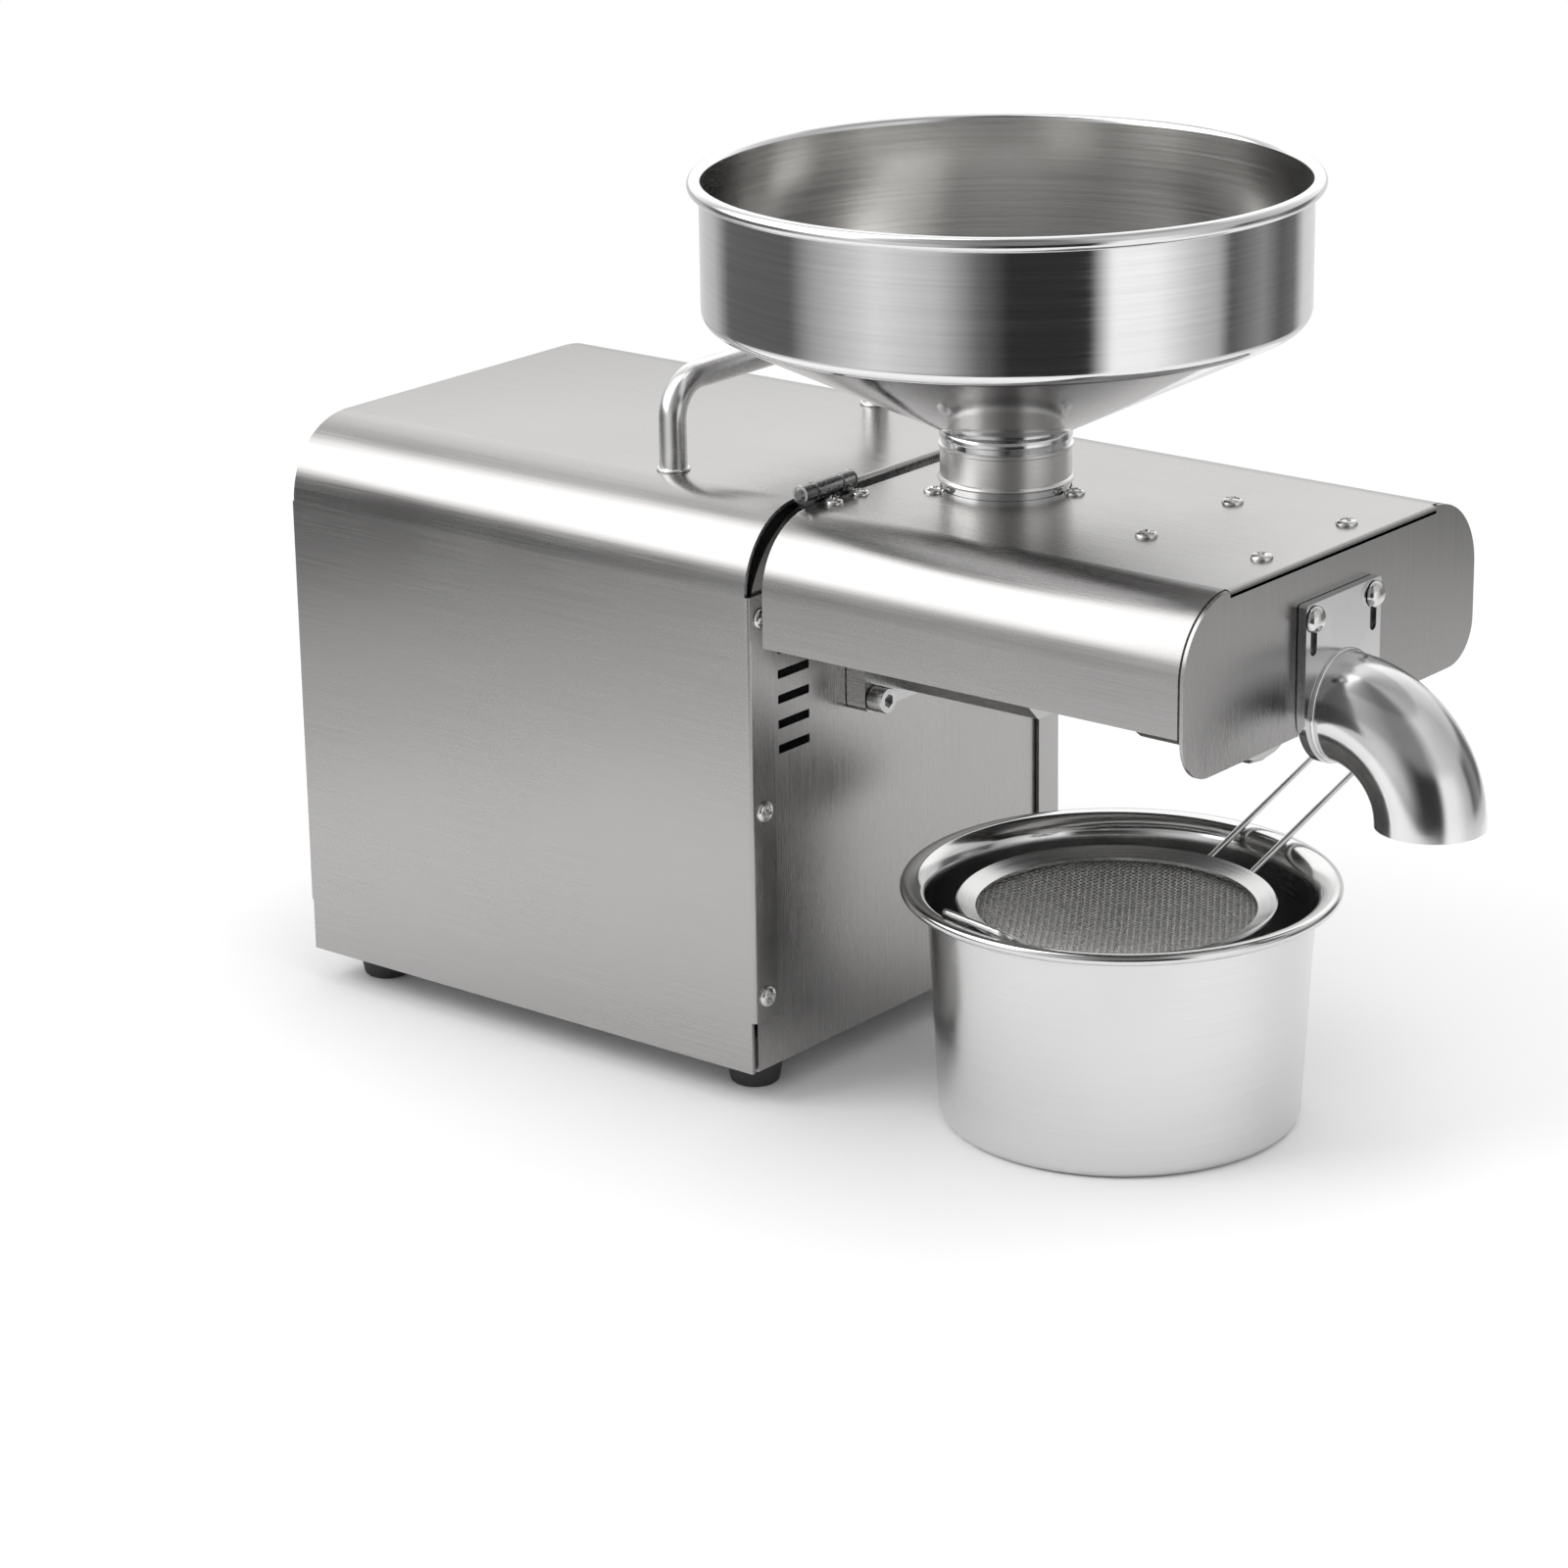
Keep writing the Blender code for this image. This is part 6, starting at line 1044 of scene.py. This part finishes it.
def build_elbow(editable):
    top, slot_low = underside + 0.1745, underside + 0.1595
    outline = [(plate_half, top - plate_ease), (plate_half - plate_ease, top),
               (-plate_half + plate_ease, top), (-plate_half, top - plate_ease)]
    outline += curve_points((0, underside + 0.1403), plate_half, 180, 360, 48)
    holes = []
    for x in (-outlet_screw_x, outlet_screw_x):
        slot = curve_points((x, outlet_screw_z), outlet_hole, 0, 180, 10)
        holes.append(slot + curve_points((x, slot_low), outlet_hole, 180, 360, 10))
    holes.append(circle(0, tube_z, tube_bore, 64))
    sheet_with_holes(editable, outline, holes, upright_sheet, plate_back, plate_front)
    steps = 28
    centre = Vector((0, plate_front, tube_z - tube_bend))
    stations = [(Vector((0, plate_front + 0.001, tube_z)), Vector((0, 0, 1)))]
    for i in range(steps + 1):
        angle = math.pi / 2 * i / steps
        out = Vector((0, -math.sin(angle), math.cos(angle)))
        stations.append((centre + out * tube_bend, out))
    ends = []
    for radius in (tube_radius, tube_radius - tube_wall):
        loops = [[editable.verts.new(middle + out * up + Vector((1, 0, 0)) * aside)
                  for aside, up in circle(0, 0, radius, 64)] for middle, out in stations]
        for one, two in zip(loops, loops[1:]):
            skin(editable, one, two)
        ends.append(loops[-1])
    skin(editable, *ends)
    bmesh.ops.recalc_face_normals(editable, faces=editable.faces)


elbow = smooth(mesh_object("elbow_tube", build_elbow))
fit(elbow, "elbow", elbow_polish, "outlet_elbow")
weld_radius, weld_ripple, weld_beads, weld_points = 0.0177, 0.00008, 36, 96
bead_line = []
for i in range(weld_points):
    angle = 2 * math.pi * i / weld_points
    ripple = weld_radius + weld_ripple * math.sin(angle * weld_beads)
    bead_line.append((ripple * math.cos(angle), plate_front - 0.0004, tube_z + ripple * math.sin(angle)))
fit(wire("elbow_weld", bead_line, weld_bead, elbow_polish, 4, cyclic=True), "elbow")
dome_radius, dome_rise, shank_radius, seat, shank_end = 0.0043, 0.0030, 0.0015, plate_front - gap, at(160.8)
for side, x in (("left", -outlet_screw_x), ("right", outlet_screw_x)):
    dome = curve_points((0, 0), 1.0, 90, 0, 12)
    profile = [(max(dome_radius * a, 1e-5), seat - dome_rise * b) for a, b in dome]
    profile += [(dome_radius, seat), (shank_radius, seat), (shank_radius, shank_end), (1e-5, shank_end)]
    dome_screw = revolve(f"dome_screw_{side}", profile, (x, 0, outlet_screw_z), 48, axis="y", closed=False)
    fit(dome_screw, "cover", screw_steel, f"outlet_screw_{side}")


# Oil pot.
# A deep drawn stainless pot, satin outside, with a mirror lip flared out to a rolled rim.
# It stands free in front of the machine under the barrel's drip hole.

pot_centre = (-0.0136, at(95.0), 0)
pot_satin = spun_steel("pot_satin", (0.66, 0.66, 0.655), (0.71, 0.71, 0.705), 0.17, pot_centre, 0.5, 0.03, 0.10)
pot_mirror = spun_steel("pot_mirror", (0.62, 0.62, 0.615), (0.74, 0.74, 0.735), 0.10, pot_centre, 0.0, 0.08, 0.03)
pot_height, pot_rim, pot_bead, pot_top, pot_low, pot_edge = 0.0803, 0.0715, 0.0018, 0.0617, 0.0592, 0.0040
lip = pot_rim - pot_bead
flare = lip - pot_top
throat = pot_height - flare
base_bend = (pot_low - pot_edge, pot_edge)
inner_pot = [(0.00001, wall), (pot_low - pot_edge, wall)]
inner_pot += curve_points(base_bend, pot_edge - wall, -90, 0, 10)[1:]
inner_pot += curve_points((lip, throat), flare, 180, 90, 16)
roll = curve_points((lip, pot_height - pot_bead), pot_bead, 75, -90, 16)
outer_pot = curve_points((lip, throat), flare - wall, 90, 180, 16)[1:]
outer_pot += curve_points(base_bend, pot_edge, 0, -90, 10) + [(0.00001, 0)]
pot_shell = revolve("pot_shell", inner_pot + roll + outer_pot, pot_centre, round_steps, closed=False)
pot_shell.data.materials.append(pot_satin)
paint_second(pot_shell, pot_mirror, round_steps, 15, len(inner_pot) + len(roll) + 8)
fit(pot_shell, "pot", node="oil_pot")


# Strainer.
# A pressed ring with woven wire stretched under it, a bent wire handle and a wire rest.
# It hangs in the pot's mouth, and the handle leans out over the rim.

strainer_top = pot_height - 0.0061
handle_way = math.radians(-12.0)
along = Vector((math.cos(handle_way), math.sin(handle_way), 0))
beside = Vector((-along.y, along.x, 0))
hub = Vector(pot_centre) - along * 0.0020
ring_satin = spun_steel("ring_satin", (0.56, 0.56, 0.555), (0.66, 0.66, 0.655), 0.18, tuple(hub), 0.0, 0.10, 0.04)
ring_profile = [(radius, strainer_top - drop) for radius, drop in (
    (0.0512, 0.0), (0.0518, 0.0004), (0.0520, 0.0010), (0.0517, 0.0016), (0.0510, 0.0020),
    (0.0480, 0.0029), (0.0455, 0.0035), (0.0455, 0.0025), (0.0480, 0.0015), (0.0503, 0.0004),
)]
ring = revolve("strainer_ring", ring_profile, tuple(hub), round_steps)
fit(ring, "strainer", ring_satin, "strainer_rim")

weave_wire = marked_finish("weave_wire", 900.0, (0.60, 0.59, 0.575), (0.76, 0.75, 0.735), 0.24, 0.34)[0]
weave_reach, weave_pitch, weave_radius, weave_sag, weave_drop = 0.0468, 0.0015, 0.00022, 0.0060, 0.0042
weave = bpy.data.curves.new("strainer_weave", "CURVE")
weave.dimensions = "3D"
weave.bevel_depth = weave_radius
weave.bevel_resolution = 1
weave.use_fill_caps = False
count = int(weave_reach / weave_pitch)
for direction in (0, 1):
    for row in range(-count, count + 1):
        level = row * weave_pitch
        reach = math.sqrt(weave_reach ** 2 - level ** 2)
        half_steps = int(reach / weave_pitch)
        if half_steps < 1:
            continue
        stops = [-reach] + [i * weave_pitch for i in range(-half_steps, half_steps + 1)] + [reach]
        spline = weave.splines.new("POLY")
        spline.points.add(len(stops) - 1)
        for point, stop in zip(spline.points, stops):
            crossing = round(stop / weave_pitch) + row
            lift = weave_radius * (1 if (crossing + direction) % 2 else -1)
            distance = math.hypot(stop, level) / weave_reach
            height = strainer_top - weave_drop - weave_sag * (1 - distance ** 2) + lift
            spot = hub + (along * stop + beside * level if direction else along * level + beside * stop)
            point.co = (spot.x, spot.y, height, 1)
        spline.use_smooth = True
weave.materials.append(weave_wire)
fit(place_object("strainer_weave", weave), "strainer", node="strainer_mesh")


def strainer_spot(reach, side, height):
    return tuple(hub + along * reach + beside * side + Vector((0, 0, height)))


wire_radius, wire_z, wire_ring, handle_rise = 0.0011, strainer_top - 0.0010, 0.0526, 0.53
wire_sink, wire_drop = 0.0008, 0.0002
half = 0.0098
start = math.sqrt(wire_ring ** 2 - (half - wire_radius) ** 2)
end = start + 0.0585
points = [strainer_spot(start - wire_sink, -half, wire_z - wire_drop)]
for reach, side in curve_points((end - half, 0), half, -90, 90, 24):
    points.append(strainer_spot(reach, side, wire_z + (reach - start) * handle_rise))
points.append(strainer_spot(start - wire_sink, half, wire_z - wire_drop))
handle_wire = wire("strainer_wire_handle", points, wire_radius, satin_tube, 5)
fit(handle_wire, "strainer", node="strainer_handle")

rest_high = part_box("strainer_rest")[1]
half, reach_out = 0.0150, 0.0112
start = -math.sqrt(wire_ring ** 2 - (half - wire_radius) ** 2)
end = start - reach_out
corner = reach_out / 3
rise = (rest_high.z - wire_radius - wire_z) / reach_out
loop = [(start, half)] + curve_points((end + corner, half - corner), corner, 90, 180, 10)
loop += curve_points((end + corner, corner - half), corner, 180, 270, 10) + [(start, -half)]
points = [strainer_spot(reach, side, wire_z + (start - reach) * rise) for reach, side in loop]
rest_wire = wire("strainer_wire_rest", points, wire_radius, satin_tube, 5)
fit(rest_wire, "strainer", node="strainer_rest")
